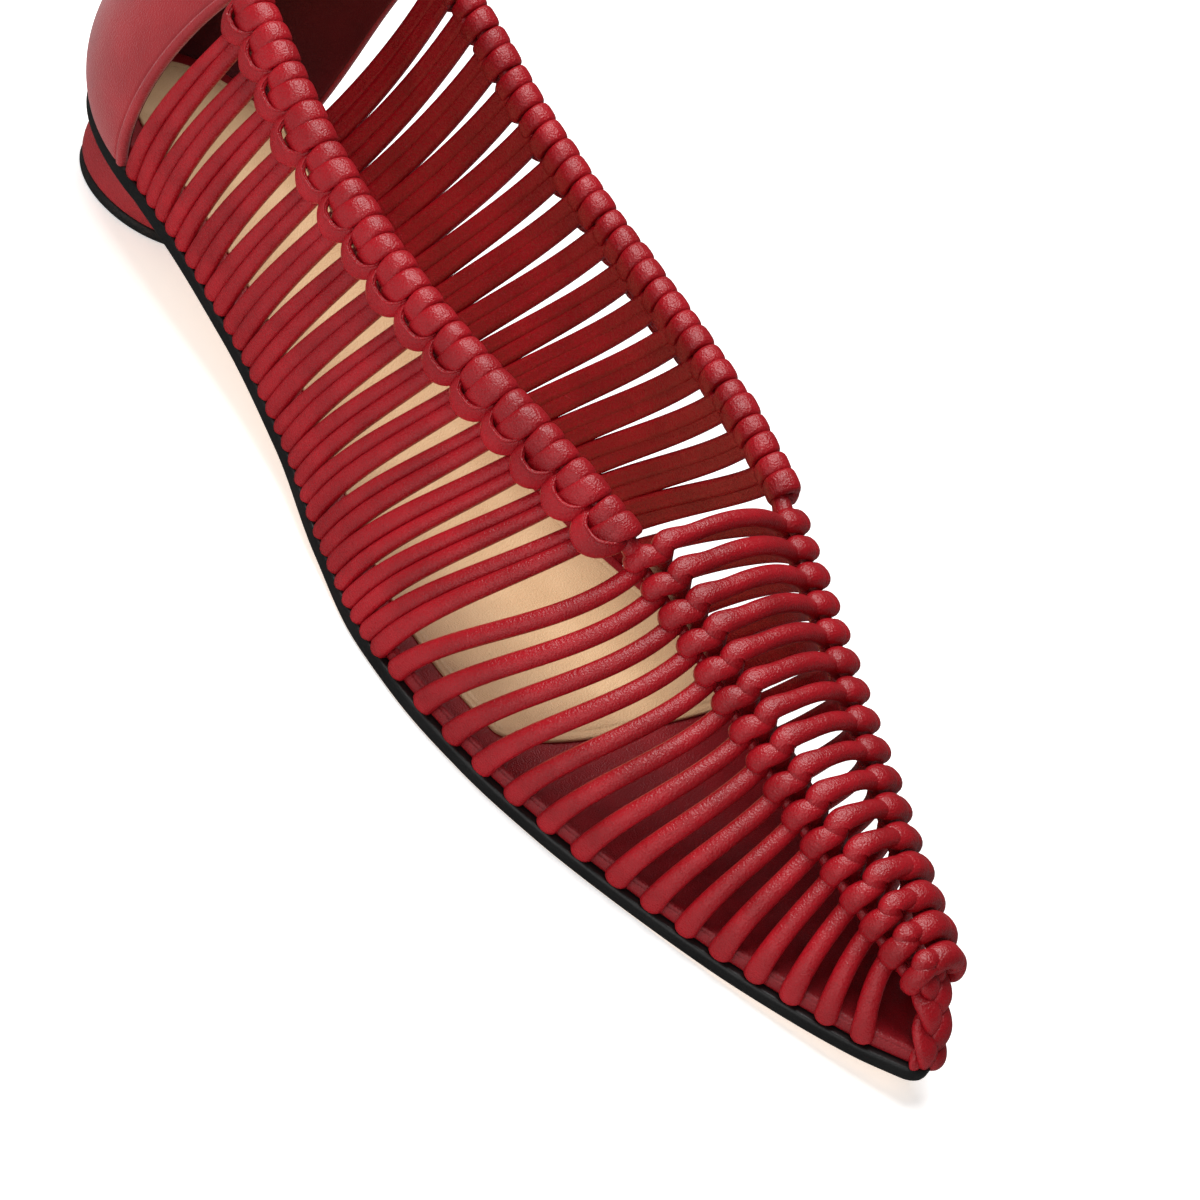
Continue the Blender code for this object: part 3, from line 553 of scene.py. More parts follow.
def plate(plans, levels, columns):
    """A flat piece: at each station a closed outline goes along its bottom, up the medial edge,
    back along its top and down the lateral edge. levels are (inset, height) from the bottom up,
    and plans gives each side's plan, directions and heights of the ground under it."""
    edges = {}
    for side, (plan, along, ground) in plans.items():
        edges[side] = np.stack([
            np.column_stack([inset_plan(plan, along, side, inset), ground + lift]) for inset, lift in levels
        ], axis=1)
    share = np.linspace(0, 1, columns + 1)[None, :, None]
    low = (1 - share) * edges[LATERAL][:, :1] + share * edges[MEDIAL][:, :1]
    high = (1 - share) * edges[MEDIAL][:, -1:] + share * edges[LATERAL][:, -1:]
    ring = np.concatenate([low, edges[MEDIAL][:, 1:-1], high, edges[LATERAL][:, -2:0:-1]], axis=1)
    return loft(ring[None], lengths_along(edges[LATERAL][None, :, 0]))


def turned(rows):
    """A turned piece: a profile of heights and radii carried round the heel's upright axis."""
    angle = np.linspace(0, 2 * pi, HEEL_SIDES, endpoint=False)
    rings = np.stack([
        HEEL_X + rows[:, 1:2] * np.cos(angle), HEEL_Y - rows[:, 1:2] * np.sin(angle), rows[:, :1] + 0 * angle,
    ], axis=-1)[None]
    return loft(rings[:, 1:-1], lengths_along(rows[None])[:, 1:-1], rings[:, [0, -1], 0])


# Materials.


def new_material(name):
    """A material with its nodes, its shader and a maker of linked nodes."""
    material = bpy.data.materials.new(name)
    material.use_nodes = True
    tree = material.node_tree
    shader = tree.nodes["Principled BSDF"]

    def add(kind, **inputs):
        node = tree.nodes.new(kind)
        for key, value in inputs.items():
            socket = node.inputs[key.replace("_", " ")]
            if isinstance(value, bpy.types.NodeSocket):
                tree.links.new(value, socket)
            else:
                socket.default_value = value
        return node

    return material, tree, shader, add


def blend_colour(tree, share, first, second):
    """A colour that goes from one to another with a share."""
    mix = tree.nodes.new("ShaderNodeMix")
    mix.data_type = "RGBA"
    tree.links.new(share, mix.inputs[MIX_SHARE])
    mix.inputs[MIX_FIRST].default_value = (*first, 1.0)
    mix.inputs[MIX_SECOND].default_value = (*second, 1.0)
    return mix.outputs[MIX_RESULT]


def ranged(add, value, low, high, to_low, to_high):
    """A value moved from one range to another."""
    node = add("ShaderNodeMapRange", Value=value, From_Min=low, From_Max=high, To_Min=to_low, To_Max=to_high)
    return node.outputs["Result"]


def leather(name, light, dark, roughness, grain=0.00035, grain_depth=0.00018, crease=0.0,
            coat=0.03, sheen=0.0):
    """Leather: a colour that drifts in soft patches, a pebbled grain, fine creases across the
    piece's own length where it is a cord, and a thin satin finish."""
    material, tree, shader, add = new_material(name)
    place = add("ShaderNodeTexCoord")
    patches = add("ShaderNodeTexNoise", Vector=place.outputs["Object"], Scale=95.0, Detail=4.0)
    pores = add("ShaderNodeTexNoise", Vector=place.outputs["Object"], Scale=1.0 / grain, Detail=2.0)
    cells = add("ShaderNodeTexVoronoi", Vector=place.outputs["Object"], Scale=0.8 / grain)
    share = ranged(add, patches.outputs["Fac"], 0.32, 0.68, 0.0, 1.0)
    colour = blend_colour(tree, share, dark, light)
    tree.links.new(colour, shader.inputs["Base Color"])
    gloss = ranged(add, pores.outputs["Fac"], 0.3, 0.7, roughness - 0.07, roughness + 0.08)
    tree.links.new(gloss, shader.inputs["Roughness"])
    normal = add("ShaderNodeBump", Height=cells.outputs["Distance"], Strength=0.5, Distance=grain_depth)
    normal = add("ShaderNodeBump", Height=pores.outputs["Fac"], Strength=0.6, Distance=grain_depth,
                 Normal=normal.outputs["Normal"])
    if crease:
        marks = add("ShaderNodeUVMap")
        marks.uv_map = "along"
        for scale, depth in (((1.7, 0.8, 1.0), 0.6 * crease), ((0.6, 0.2, 1.0), crease)):
            stretch = add("ShaderNodeMapping", Vector=marks.outputs["UV"], Scale=scale)
            folds = add("ShaderNodeTexNoise", Vector=stretch.outputs["Vector"], Scale=1.0, Detail=2.0)
            normal = add("ShaderNodeBump", Height=folds.outputs["Fac"], Strength=0.6, Distance=depth,
                         Normal=normal.outputs["Normal"])
    tree.links.new(normal.outputs["Normal"], shader.inputs["Normal"])
    shader.inputs["Specular IOR Level"].default_value = 0.42
    shader.inputs["Coat Weight"].default_value = coat
    shader.inputs["Coat Roughness"].default_value = 0.32
    shader.inputs["Sheen Weight"].default_value = sheen
    shader.inputs["Sheen Roughness"].default_value = 0.45
    return material


CORD_LEATHER = leather("cord_leather", (0.38, 0.004, 0.011), (0.26, 0.002, 0.006), 0.34, crease=0.0003)
COUNTER_LEATHER = leather("counter_leather", (0.36, 0.010, 0.016), (0.30, 0.008, 0.013), 0.42,
                          grain=0.00030, sheen=0.22)
# The lining's dark red is partly the leather's own colour and partly painted shade for the deep shade inside
# the counter.
LINING_LEATHER_AND_PAINTED_SHADE = leather("lining_leather_and_painted_shade", (0.13, 0.002, 0.005), (0.09, 0.001, 0.003), 0.6, coat=0.0)
HEEL_LEATHER = leather("heel_leather", (0.36, 0.012, 0.018), (0.30, 0.009, 0.014), 0.44)
INSOLE_LEATHER = leather("insole_leather", (0.30, 0.005, 0.011), (0.22, 0.003, 0.007), 0.42)
SOCK_LEATHER = leather("sock_leather", (0.72, 0.47, 0.26), (0.64, 0.40, 0.21), 0.50, coat=0.05)
SOLE_EDGE = leather("sole_edge", (0.010, 0.010, 0.010), (0.006, 0.006, 0.006), 0.42, grain_depth=0.00003,
                    coat=0.0)
SOLE_UNDERSIDE = leather("sole_underside", (0.60, 0.40, 0.23), (0.50, 0.32, 0.18), 0.52, coat=0.05)
TOP_PIECE_RUBBER = leather("top_piece_rubber", (0.014, 0.014, 0.014), (0.010, 0.010, 0.010), 0.55, coat=0.0)


# Sole, heel, insole and sock.


def sole_plans():
    """Both sides' plan, directions and ground heights."""
    plans = {}
    for side in SIDES:
        plan, along = sole_plan(side, *PLAN_POINTS)
        plans[side] = (plan, along, sole_under(plan[:, 0]))
    return plans


def outsole():
    """Thin sole: edge with a small step under and a rounded top."""
    levels = ((1.2, 0.0), (0.5, 0.12), (0.12, 0.45), (0.0, 0.9), (0.0, 2.2), (0.1, 2.65), (0.35, 2.92),
              (0.8, SOLE_THICK), (2.5, SOLE_THICK))
    form = plate(sole_plans(), levels, PLATE_COLUMNS)
    thing = piece("outsole", form, SOLE_EDGE, "sole_edge", "outsole", weld=True)
    thing.data.materials.append(SOLE_UNDERSIDE)
    normals = np.empty(3 * len(thing.data.polygons))
    thing.data.polygons.foreach_get("normal", normals)
    thing.data.polygons.foreach_set("material_index", (normals[2::3] < DOWNWARD).astype(np.int32))
    return thing


def insole():
    """Leather-covered board whose wrapped edge stands upright and ends in a small lip."""
    low = SOLE_THICK + CLEARANCE / 2
    levels = ((0.45, 0.0), (0.05, 0.25), (0.0, 0.7), (0.0, 2.2), (0.12, 2.42), (0.4, 2.5), (0.36, 2.75),
              (0.55, 3.05), (1.0, INSOLE_THICK), (1.6, INSOLE_THICK))
    levels = [(INSOLE_INSET + inset, low + lift) for inset, lift in levels]
    form = plate(sole_plans(), levels, PLATE_COLUMNS)
    return piece("insole", form, INSOLE_LEATHER, "insole_leather", "insole", weld=True)


def sock_lining():
    """Thin sock with a pressed line near its edge. Its inset eases from the back to each side's
    own, and its front is half an oval, a cosine and a sine to a power for each side."""
    low = SOLE_THICK + CLEARANCE / 2 + INSOLE_THICK
    levels = ((0.3, -0.2), (0.0, 0.2), (0.0, 0.55), (0.25, 0.75), (1.3, 0.8), (1.55, 0.62), (1.8, 0.8),
              (2.6, SOCK_THICK))
    levels = [(inset, low + lift) for inset, lift in levels]
    turn = np.linspace(0, pi / 2, SOCK_FRONT_POINTS)[1:]
    base = {}
    for side in SIDES:
        plan, along = sole_plan(side, *SOCK_POINTS, last_x=SOCK_CORNER_X[side])
        from_back = eased(np.clip(np.arange(len(plan)) / SOCK_POINTS[0], 0, 1))
        inset = SOCK_BACK_INSET + (SOCK_INSET[side] - SOCK_BACK_INSET) * from_back
        base[side] = inset_plan(plan, along, side, inset[:, None])
    centre = sum(plan[-1, 1] for plan in base.values()) / 2
    plans = {}
    for side, plan in base.items():
        square = SOCK_SQUARE[side]
        across = (plan[-1, 1] - centre) * np.clip(np.cos(turn), 0, 1) ** square
        reach = SOCK_FRONT_X + SOCK_TILT * across - plan[-1, 0]
        front = np.column_stack([plan[-1, 0] + reach * np.sin(turn) ** square, centre + across])
        plan = np.concatenate([plan, front])
        along = headings(plan)
        along[0] = (0.0, side)
        along[-1] = (0.0, -side)
        plans[side] = (plan, along, sole_under(plan[:, 0]))
    form = plate(plans, levels, SOCK_COLUMNS)
    return piece("sock_lining", form, SOCK_LEATHER, "sock_leather", "sock_lining", weld=True)


def heel():
    """Low heel block with a swelling leather wall, and the black piece it wears on."""
    wall = spline(HEEL_ROWS[1:-1], HEEL_WALL_POINTS)
    rows = np.concatenate([HEEL_ROWS[:1], wall, HEEL_ROWS[-1:]])
    piece("heel", turned(rows), HEEL_LEATHER, "red_leather", "heel")
    piece("top_piece", turned(TOP_PIECE_ROWS), TOP_PIECE_RUBBER, "top_piece_rubber", "top_piece")


def outward(grid):
    """Direction out of a wall's grid: the cross product of its ways up and round."""
    return unit(np.cross(np.gradient(grid, axis=1), np.gradient(grid, axis=0)))


def edge_distances(grid):
    """Length round a wall's grid from its first edge, then distances from the nearer front edge,
    from the foot and from the top."""
    around = lengths_along(grid.transpose(1, 0, 2)).T
    height = lengths_along(grid)
    return around, np.minimum(around, around[-1:] - around), height, height[:, -1:] - height


def sheet(outer, inner, around):
    """A closed sheet: each column is a ring up its outer face and down its inner one."""
    ring = np.concatenate([outer, inner[:, -2:0:-1]], axis=1)
    return loft(ring[None, ::-1], around[None, ::-1, 0])


def counter():
    """Smooth leather back: a wall of lines round the heel between two slanted front edges, which
    swells by a sine and comes out at its foot. Its thickness rounds off at every edge, stands up
    in a folded rim and dips in a groove inside it. Gives the grids that its lining follows."""
    share = wall_shares(COUNTER_SHARES)
    turn = np.linspace(-1, 1, 2 * COUNTER_COLUMNS + 1)
    turn = np.sign(turn) * (1 - (1 - np.abs(turn)) ** COUNTER_TURN_POWER)
    inner = np.empty((len(turn), len(share), 3))
    for side in SIDES:
        own = turn * side >= 0
        base = FEATHER[side].length_at(COUNTER_BASE_X)
        low_top = COLLAR[side].length_at(COUNTER_BASE_X)
        high_top = COLLAR[side].length_at(COUNTER_TOP_X)
        top = low_top + share ** COUNTER_EDGE_BEND * (high_top - low_top)
        reach = np.abs(turn[own])[:, None]
        paths, _ = wall_lines(side, reach * (base + 0 * share), reach * top, share[None, :, None])
        inner[own] = paths[:, :, 0]
    side_share = np.abs(turn)[:, None]
    foot_fade = 1 - COUNTER_FOOT_LOSS * side_share ** COUNTER_FOOT_POWER
    swell_fade = 1 - COUNTER_SWELL_LOSS * side_share ** COUNTER_SWELL_POWER
    foot = COUNTER_FOOT_OUT * (1 - share) ** 2
    swell = COUNTER_SWELL * np.sin(pi * np.clip(share, 0, 1) ** COUNTER_SWELL_LOW)
    inner = inner + (foot_fade * foot + swell_fade * swell)[..., None] * outward(inner)
    out = outward(inner)
    around, from_front, from_foot, from_top = edge_distances(inner)
    inside = np.minimum(from_front, from_top)
    round_off = rounded(np.minimum(inside, from_foot), EDGE_ROUND)
    rim = RIM_RAISE / (1 + np.exp((inside - RIM_WIDE) / RIM_SOFT))
    groove = RIM_GROOVE * np.exp(-((inside - RIM_WIDE - GROOVE_IN) / GROOVE_WIDE) ** 2)
    middle = inner + COUNTER_THICK / 2 * out
    outer_face = middle + (round_off * (COUNTER_THICK / 2 + rim - groove))[..., None] * out
    inner_face = middle - (round_off * COUNTER_THICK / 2)[..., None] * out
    form = sheet(outer_face, inner_face, around)
    piece("counter", form, COUNTER_LEATHER, "red_leather", "counter", weld=True)
    lined = slice(LINING_TRIM, -LINING_TRIM)
    return inner[lined, lined], out[lined, lined]


def counter_lining(inner, out):
    """Lining inside the counter: a thin sheet along its inner face, which stops short of
    the edges and is rounded off there. Its dark red is partly the leather's own colour and partly painted
    shade for the deep shade inside the counter."""
    around, from_front, from_foot, from_top = edge_distances(inner)
    nearest = np.minimum(from_front, np.minimum(from_foot, from_top))
    thick = (LINING_THICK * rounded(nearest, LINING_ROUND))[..., None] * out
    form = sheet(inner + thick, inner - thick, around)
    return piece("counter_lining", form, LINING_LEATHER_AND_PAINTED_SHADE, "red_leather", "counter", weld=True)


# Paired cords, collar rope, wraps and loops.


def loop_x(side):
    """Place of each pair's loop along the shoe: even steps, and on the lateral side the first
    ones a little further forward by a fading share."""
    number = np.arange(PAIRS)
    ahead = LOOP_AHEAD if side == LATERAL else 0.0
    return LOOP_START + number * LOOP_PITCH + ahead * np.exp(-number / LOOP_FADE)


def side_cords(random):
    """Cords from the sole up to the rope, two by two: each follows a line up the wall, is flat
    and wide at its foot and rounder at its head, and tucks in under its foot. Towards the rope
    the second of a pair comes a little over the first, by the square of its way up."""
    forms = []
    number = np.arange(2 * PAIRS)
    which = 2 * (number % 2) - 1
    for side in SIDES:
        base_x = PAIR_BASE_START + (number + 0.5) * CORD_PITCH + random.normal(0, PAIR_SCATTER, len(number))
        if side == MEDIAL:
            base_x = base_x - MEDIAL_BASE_BACK * (number / len(number)) ** MEDIAL_BACK_POWER
        top_x = loop_x(side)[number // 2] + PAIR_HALF_APART * which
        ends = FEATHER[side].length_at(base_x), COLLAR[side].length_at(top_x)
        share = wall_shares(CORD_STATIONS)[None, :] + 0 * base_x[:, None]
        whole = lengths_along(wall_lines(side, *ends, share)[0])[:, -1:]
        share = np.minimum(share, share * (1 - PAIR_END_BELOW / whole))
        paths, along = wall_lines(side, *ends, share)
        tuck = foot_tuck(PAIR_TUCK, PAIR_TUCK_REACH, lengths_along(paths))
        bow = PAIR_BOW * random.normal(0, 1, (len(number), 1)) * np.sin(pi * share)
        way_up = np.clip(share, 0, 1)
        over = PAIR_OVER * which[:, None] * way_up ** 2
        cord = carried(paths, along, CORD_HALF_THICK + CORD_LIFT - tuck + bow + over, -side)
        half_wide = CORD_FOOT_HALF + (CORD_HEAD_HALF[side] - CORD_FOOT_HALF) * way_up ** CORD_NARROWING
        half_wide = half_wide * varied(random, PAIR_VARIES, len(number))
        half_wide = half_wide * rounded_ends(cord.path, *PAIR_ENDS_WIDE)
        half_thick = CORD_HALF_THICK * rounded_ends(cord.path, *PAIR_ENDS_THICK)
        forms.append(cords(cord, half_wide, half_thick, cord_outline(CORD_SIDES, notch=CORD_NOTCH)))
    return cord_piece("side_cords", *forms)


def collar_frame(side, length):
    """Middle of the collar rope with its directions forward, out of the wall and up it."""
    top, out, along = COLLAR[side].at(length)
    up = square_to(lean_way(out, through(COLLAR_ROWS, LEAN, top[..., 0])), along)
    away = side * np.cross(up, along)
    return top - ROPE_DROP * up + ROPE_OUT * away, along, away, up


def on_collar(side, length, away, up):
    """Points at lengths along the rope, moved out and up from its middle."""
    middle, _, out_way, up_way = collar_frame(side, length)
    return middle + away[..., None] * out_way + up[..., None] * up_way


def unit_lengths(side):
    """Lengths along the collar of the middle of each pair."""
    return COLLAR[side].length_at(loop_x(side))


# A wrap's way round the rope, as distances out of the wall and up it from the rope's middle.
WRAP_PROFILE = np.array([
    (0.0, -6.2), (0.7, -4.6), (1.7, -3.1), (2.4, -1.6), (2.6, 0.1), (2.2, 1.6), (0.9, 2.45),
    (-0.7, 2.5), (-1.8, 1.7), (-2.2, 0.3), (-2.1, -1.2), (-1.5, -2.4), (-0.2, -3.1),
])
# A loop's way under the rope: lengths along the collar, out of the wall, up it, half its height.
LOOP_PROFILE = np.array([
    (-3.4, -0.9, 0.2, 0.6), (-4.1, 0.7, -1.3, 0.95), (-3.9, 1.9, -3.2, 1.45), (-2.5, 2.4, -5.2, 2.0),
    (0.0, 2.45, -6.1, 2.25),
    (2.5, 2.4, -5.2, 2.0), (3.9, 1.9, -3.2, 1.45), (4.1, 0.7, -1.3, 0.95), (3.4, -0.9, 0.2, 0.6),
])


def collar_wraps(random):
    """Two wraps a pair over the rope: a profile out of the loop, up, over the rope and down
    inside, which drifts forward as it goes round. The two leave the loop close together, the
    second over the first, and fan out by a share that fades along them."""
    forms = []
    profile = spline(WRAP_PROFILE, WRAP_STATIONS)
    away, up = profile.T
    share = np.linspace(0, 1, WRAP_STATIONS)
    fan = np.clip(1 - share / WRAP_FAN_END, 0, 1)
    swell = np.sin(pi * np.clip(share * WRAP_SWELL_PACE, 0, 1))
    swell = WRAP_END_SIZE + (1 - WRAP_END_SIZE) * swell
    which = np.tile([-0.5, 0.5], PAIRS)[:, None]
    apart = WRAP_APART * which * (1 - WRAP_FAN * fan)
    deeper = np.where(which > 0, WRAP_DEEPER, WRAP_SHORTER)
    rise = np.where(up < WRAP_LOOP_LEVEL, (up - WRAP_LOOP_LEVEL) * deeper + WRAP_LOOP_LEVEL, up)
    for side in SIDES:
        centre = np.repeat(unit_lengths(side), 2)[:, None]
        slant = WRAP_SLANT * varied(random, WRAP_SLANT_VARIES, len(centre))
        length = centre + apart + slant * (share - WRAP_SLANT_MIDDLE)
        grow = varied(random, WRAP_VARIES, len(centre))
        paths = on_collar(side, length, away * grow + WRAP_OVER * which * fan, rise * grow)
        _, along, _, _ = collar_frame(side, length)
        cord = carried(paths, along, np.zeros(length.shape), -side)
        size = swell * rounded_ends(cord.path, *WRAP_ENDS)
        half_wide = WRAP_HALF_WIDE * (grow + WRAP_WIDER * which) * size
        forms.append(cords(cord, half_wide, WRAP_HALF_THICK * size, cord_outline(WRAP_SIDES, WRAP_POWER)))
    return cord_piece("collar_wraps", *forms)


def collar_loops(random):
    """The band that hangs under each pair of wraps: a sling from the rope down over both cords
    and back up, tallest in its middle, tilted so that its upper rim stands away from the cords.
    A thin rolled edge runs along that rim."""
    forms = []
    ahead, away, up, half_high = spline(LOOP_PROFILE, LOOP_STATIONS).T
    sideways = LOOP_TURN * np.sin(pi * np.clip(ahead / LOOP_TURN_WIDE, -0.5, 0.5))[:, None]
    tilt = radians(LOOP_TILT)
    rolled = slice(ROLL_TRIM, -ROLL_TRIM)
    for side in SIDES:
        length = unit_lengths(side)[:, None] + ahead
        grow = varied(random, LOOP_VARIES, len(length))
        paths = on_collar(side, length, away + 0 * length, up * grow)
        _, along, out_way, up_way = collar_frame(side, length)
        cord = facing(paths, out_way * cos(tilt) - up_way * sin(tilt) + sideways * along)
        ends = rounded_ends(paths, *LOOP_ENDS)
        half_wide = half_high * grow * ends
        forms.append(cords(cord, half_wide, LOOP_HALF_THICK * ends, cord_outline(LOOP_SIDES, LOOP_POWER)))
        upward = np.sign(np.sum(cord.wide * up_way, axis=-1, keepdims=True))
        rim = paths + (ROLL_UP * half_wide)[..., None] * upward * cord.wide
        rim = (rim + ROLL_OFF * LOOP_HALF_THICK * cord.out)[:, rolled]
        size = ROLL_RADIUS * rounded_ends(rim, *ROLL_ENDS)
        forms.append(cords(facing(rim, cord.out[:, rolled]), size, size, round_outline(ROLL_SIDES)))
    return cord_piece("collar_loops", *forms)


def collar_rope(hoops):
    """The rope inside the wraps, from the counter's edge to the throat on both sides, where it
    bends over an eased share of its length into the cord under the knots and grows thicker."""
    forms = []
    for side, place in ((LATERAL, hoops.near), (MEDIAL, hoops.far)):
        ends = COLLAR[side].length_at(np.array([COUNTER_TOP_X + ROPE_PAST_COUNTER, COLLAR_ROWS[-1, 0]]))
        length = np.linspace(ends[0], ends[1], ROPE_STATIONS)[None]
        middle, _, away, _ = collar_frame(side, length)
        bend = eased(np.clip((length - ends[1]) / ROPE_BEND + 1, 0, 1))[..., None]
        middle = (1 - bend) * middle + bend * carrier_line(hoops, place)[0][0]
        cord = Cord(middle, np.cross(away, headings(middle)), away)
        size = (ROPE_CORE_RADIUS + ROPE_GROWS * bend[..., 0]) * rounded_ends(middle, *ROPE_ENDS)
        forms.append(cords(cord, size, size, round_outline(ROPE_SIDES)))
    return cord_piece("collar_rope", *forms)


# Forepart.

Hoops = namedtuple("Hoops", "line along length near far")


def forepart_hoops():
    """Each forepart cord's line over the foot: up the lateral wall to its knot, over an arch to
    the other knot and down the medial wall. The arch is a parabola whose ends keep the lean."""
    number = np.arange(SINGLES + 1)
    x = KNOT_START + KNOT_PITCH * number
    base_x = np.minimum(SINGLE_BASE_START + SINGLE_BASE_PITCH * number - SINGLE_BASE_EASE * number ** 2,
                        SINGLE_LAST_BASE_X)
    base = {LATERAL: base_x, MEDIAL: base_x - MEDIAL_BASE_BACK * (1 - (number / (SINGLES + 1)) ** 2)}
    knot_x = {LATERAL: x, MEDIAL: x + MEDIAL_KNOT_AHEAD * np.exp(-number / MEDIAL_KNOT_FADE)}
    lean = through(KNOT_ROWS, LEAN, x)
    shares = np.linspace(FOOT_SHARE, 1, HOOP_POINTS)[None] + 0 * x[:, None]
    lines = {}
    alongs = {}
    for side in SIDES:
        start, start_out, start_along = FEATHER[side].at(FEATHER[side].length_at(base[side]))
        rise = MEDIAL_RISE if side == MEDIAL else 0.0
        knot = np.column_stack([knot_x[side], side * through(KNOT_ROWS, side_column(side), knot_x[side]),
                                through(KNOT_ROWS, HEIGHT, knot_x[side]) + rise])
        out = np.array([0.0, side, 0.0]) + 0 * knot
        drift = KNOT_DRIFT if side == LATERAL else None
        lines[side] = bent(start, flare_way(start, start_out), knot, lean_way(out, lean), shares, drift)
        t = shares[..., None]
        alongs[side] = unit((1 - t) * start_along[:, None] + t * FORWARD)
    near = lines[LATERAL][:, -1]
    far = lines[MEDIAL][:, -1]
    rise = np.linalg.norm(far - near, axis=-1) / 4 / np.tan(np.radians(lean))
    t = np.linspace(0, 1, HOOP_POINTS)[None, :, None]
    arch = near[:, None] + t * (far - near)[:, None] + 4 * t * (1 - t) * rise[:, None, None] * UP
    line = np.concatenate([lines[LATERAL], arch[:, 1:-1], lines[MEDIAL][:, ::-1]], axis=1)
    along = np.concatenate([alongs[LATERAL], FORWARD + 0 * arch[:, 1:-1], alongs[MEDIAL][:, ::-1]], axis=1)
    length = lengths_along(line)
    # The far knot's length is read at the arch's last point before it.
    return Hoops(line, along, length, length[:, HOOP_POINTS - 1], length[:, 2 * HOOP_POINTS - 3])


def on_hoops(hoops, length, lift):
    """Cords laid on the first hoops, a row of lengths for each, lifted off the inside of the
    upper."""
    def read(values):
        rows = zip(values, hoops.length, length)
        return np.stack([read_at(value, places, at) for value, places, at in rows])

    return carried(read(hoops.line), unit(read(hoops.along)), lift)


def single_sizes(side, from_foot):
    """Half width and half thickness of a single cord: the head's, and towards the foot wider and
    thinner by shares that fade along it."""
    head = SINGLE_HEAD_HALF[side]
    half_wide = head + (SINGLE_FOOT_HALF - head) * np.exp(-from_foot / SINGLE_WIDE_FADE)
    half_thick = SINGLE_HALF_THICK - SINGLE_FOOT_THIN * np.exp(-from_foot / SINGLE_THICK_FADE)
    return half_wide, half_thick


def single_cords(hoops, random):
    """Lateral cords from the sole to under their knots: flat and wide at the foot, with a
    tuck under it, rounder towards the knot."""
    length = eased_stations(SINGLE_STATIONS) * (hoops.near[:SINGLES, None] + SINGLE_PAST_KNOT)
    cord = on_hoops(hoops, length, SINGLE_LIFT - foot_tuck(SINGLE_TUCK, SINGLE_TUCK_REACH, length))
    half_wide, half_thick = single_sizes(LATERAL, length)
    half_wide = half_wide * varied(random, SINGLE_VARIES, SINGLES)
    half_wide = half_wide * rounded_ends(cord.path, *SINGLE_ENDS_WIDE)
    half_thick = half_thick * rounded_ends(cord.path, *SINGLE_ENDS_THICK)
    form = cords(cord, half_wide, half_thick, cord_outline(SINGLE_SIDES, notch=CORD_NOTCH))
    return cord_piece("single_cords", form)


def far_cords(hoops, random):
    """Medial cords: each starts in a small hood outside its knot, which fades by a bell curve,
    and runs down to the sole."""
    far = hoops.far[:SINGLES, None]
    total = hoops.length[:SINGLES, -1:]
    to_foot = (1 - eased_stations(FAR_STATIONS)) * (total - far - FAR_FROM_KNOT)
    length = total - to_foot
    hood = np.exp(-np.clip(length - far - FAR_HOOD_LONG, 0, None) ** 2 / FAR_HOOD_FADE)
    tuck = foot_tuck(SINGLE_TUCK, SINGLE_TUCK_REACH, to_foot)
    cord = on_hoops(hoops, length, SINGLE_LIFT + FAR_HOOD_LIFT * hood - tuck)
    ends = rounded_ends(cord.path, *FAR_ENDS)
    half_wide, half_thick = single_sizes(MEDIAL, to_foot)
    half_wide = (half_wide + FAR_HOOD_WIDE * hood) * varied(random, SINGLE_VARIES, SINGLES)
    half_thick = half_thick + FAR_HOOD_THICK * hood
    form = cords(cord, half_wide * ends, half_thick * ends, cord_outline(SINGLE_SIDES, notch=CORD_NOTCH))
    return cord_piece("far_cords", form)


# Parts of a knot. Columns: forward along the row, along the cord from the knot's middle, off the
# inside of the upper, how far its face turns forward, half width, half thickness.
IN_ROW, ON_CORD, OFF, TURN, HALF_WIDE, HALF_THICK = range(6)
HOOD = np.array([
    (2.3, 4.3, 1.6, 1.3, 1.3, 0.9), (2.1, 4.2, 3.1, 0.9, 1.8, 1.2), (1.4, 3.9, 4.5, 0.4, 2.1, 1.5),
    (0.3, 3.8, 5.1, 0.1, 2.45, 1.7), (-0.3, 4.9, 5.1, 0.0, 2.4, 1.8), (-0.2, 6.6, 4.8, 0.0, 2.2, 1.8),
    (0.0, 8.6, 4.3, 0.0, 2.0, 1.75), (0.0, 10.8, 3.8, 0.0, 1.9, 1.75),
])
# A hood where the two rows of knots come close, near the toe.
TOE_HOOD = np.array([
    (2.3, 4.3, 1.6, 1.3, 1.1, 0.9), (2.1, 4.2, 3.1, 0.9, 1.6, 1.2), (1.4, 3.9, 4.5, 0.4, 2.0, 1.5),
    (0.3, 3.8, 5.1, 0.1, 2.3, 1.65), (-0.4, 4.7, 4.8, 0.0, 2.15, 1.7), (-0.3, 6.2, 4.0, 0.0, 1.8, 1.6),
    (0.0, 8.2, 3.3, 0.0, 1.6, 1.5), (0.0, 10.5, 2.7, 0.0, 1.55, 1.5),
])
NEAR_LOBE = np.array([
    (-1.6, -2.6, 1.0, 0.0, 1.9, 1.5), (-1.2, -1.8, 2.8, 0.0, 2.3, 1.8), (-0.5, -0.2, 4.1, 0.0, 2.4, 1.9),
    (0.3, 1.3, 4.5, 0.0, 2.25, 1.8), (1.0, 2.7, 4.2, 0.0, 1.85, 1.5), (1.5, 4.0, 3.5, 0.0, 1.25, 1.1),
    (1.7, 4.9, 2.6, 0.0, 0.8, 0.8),
])
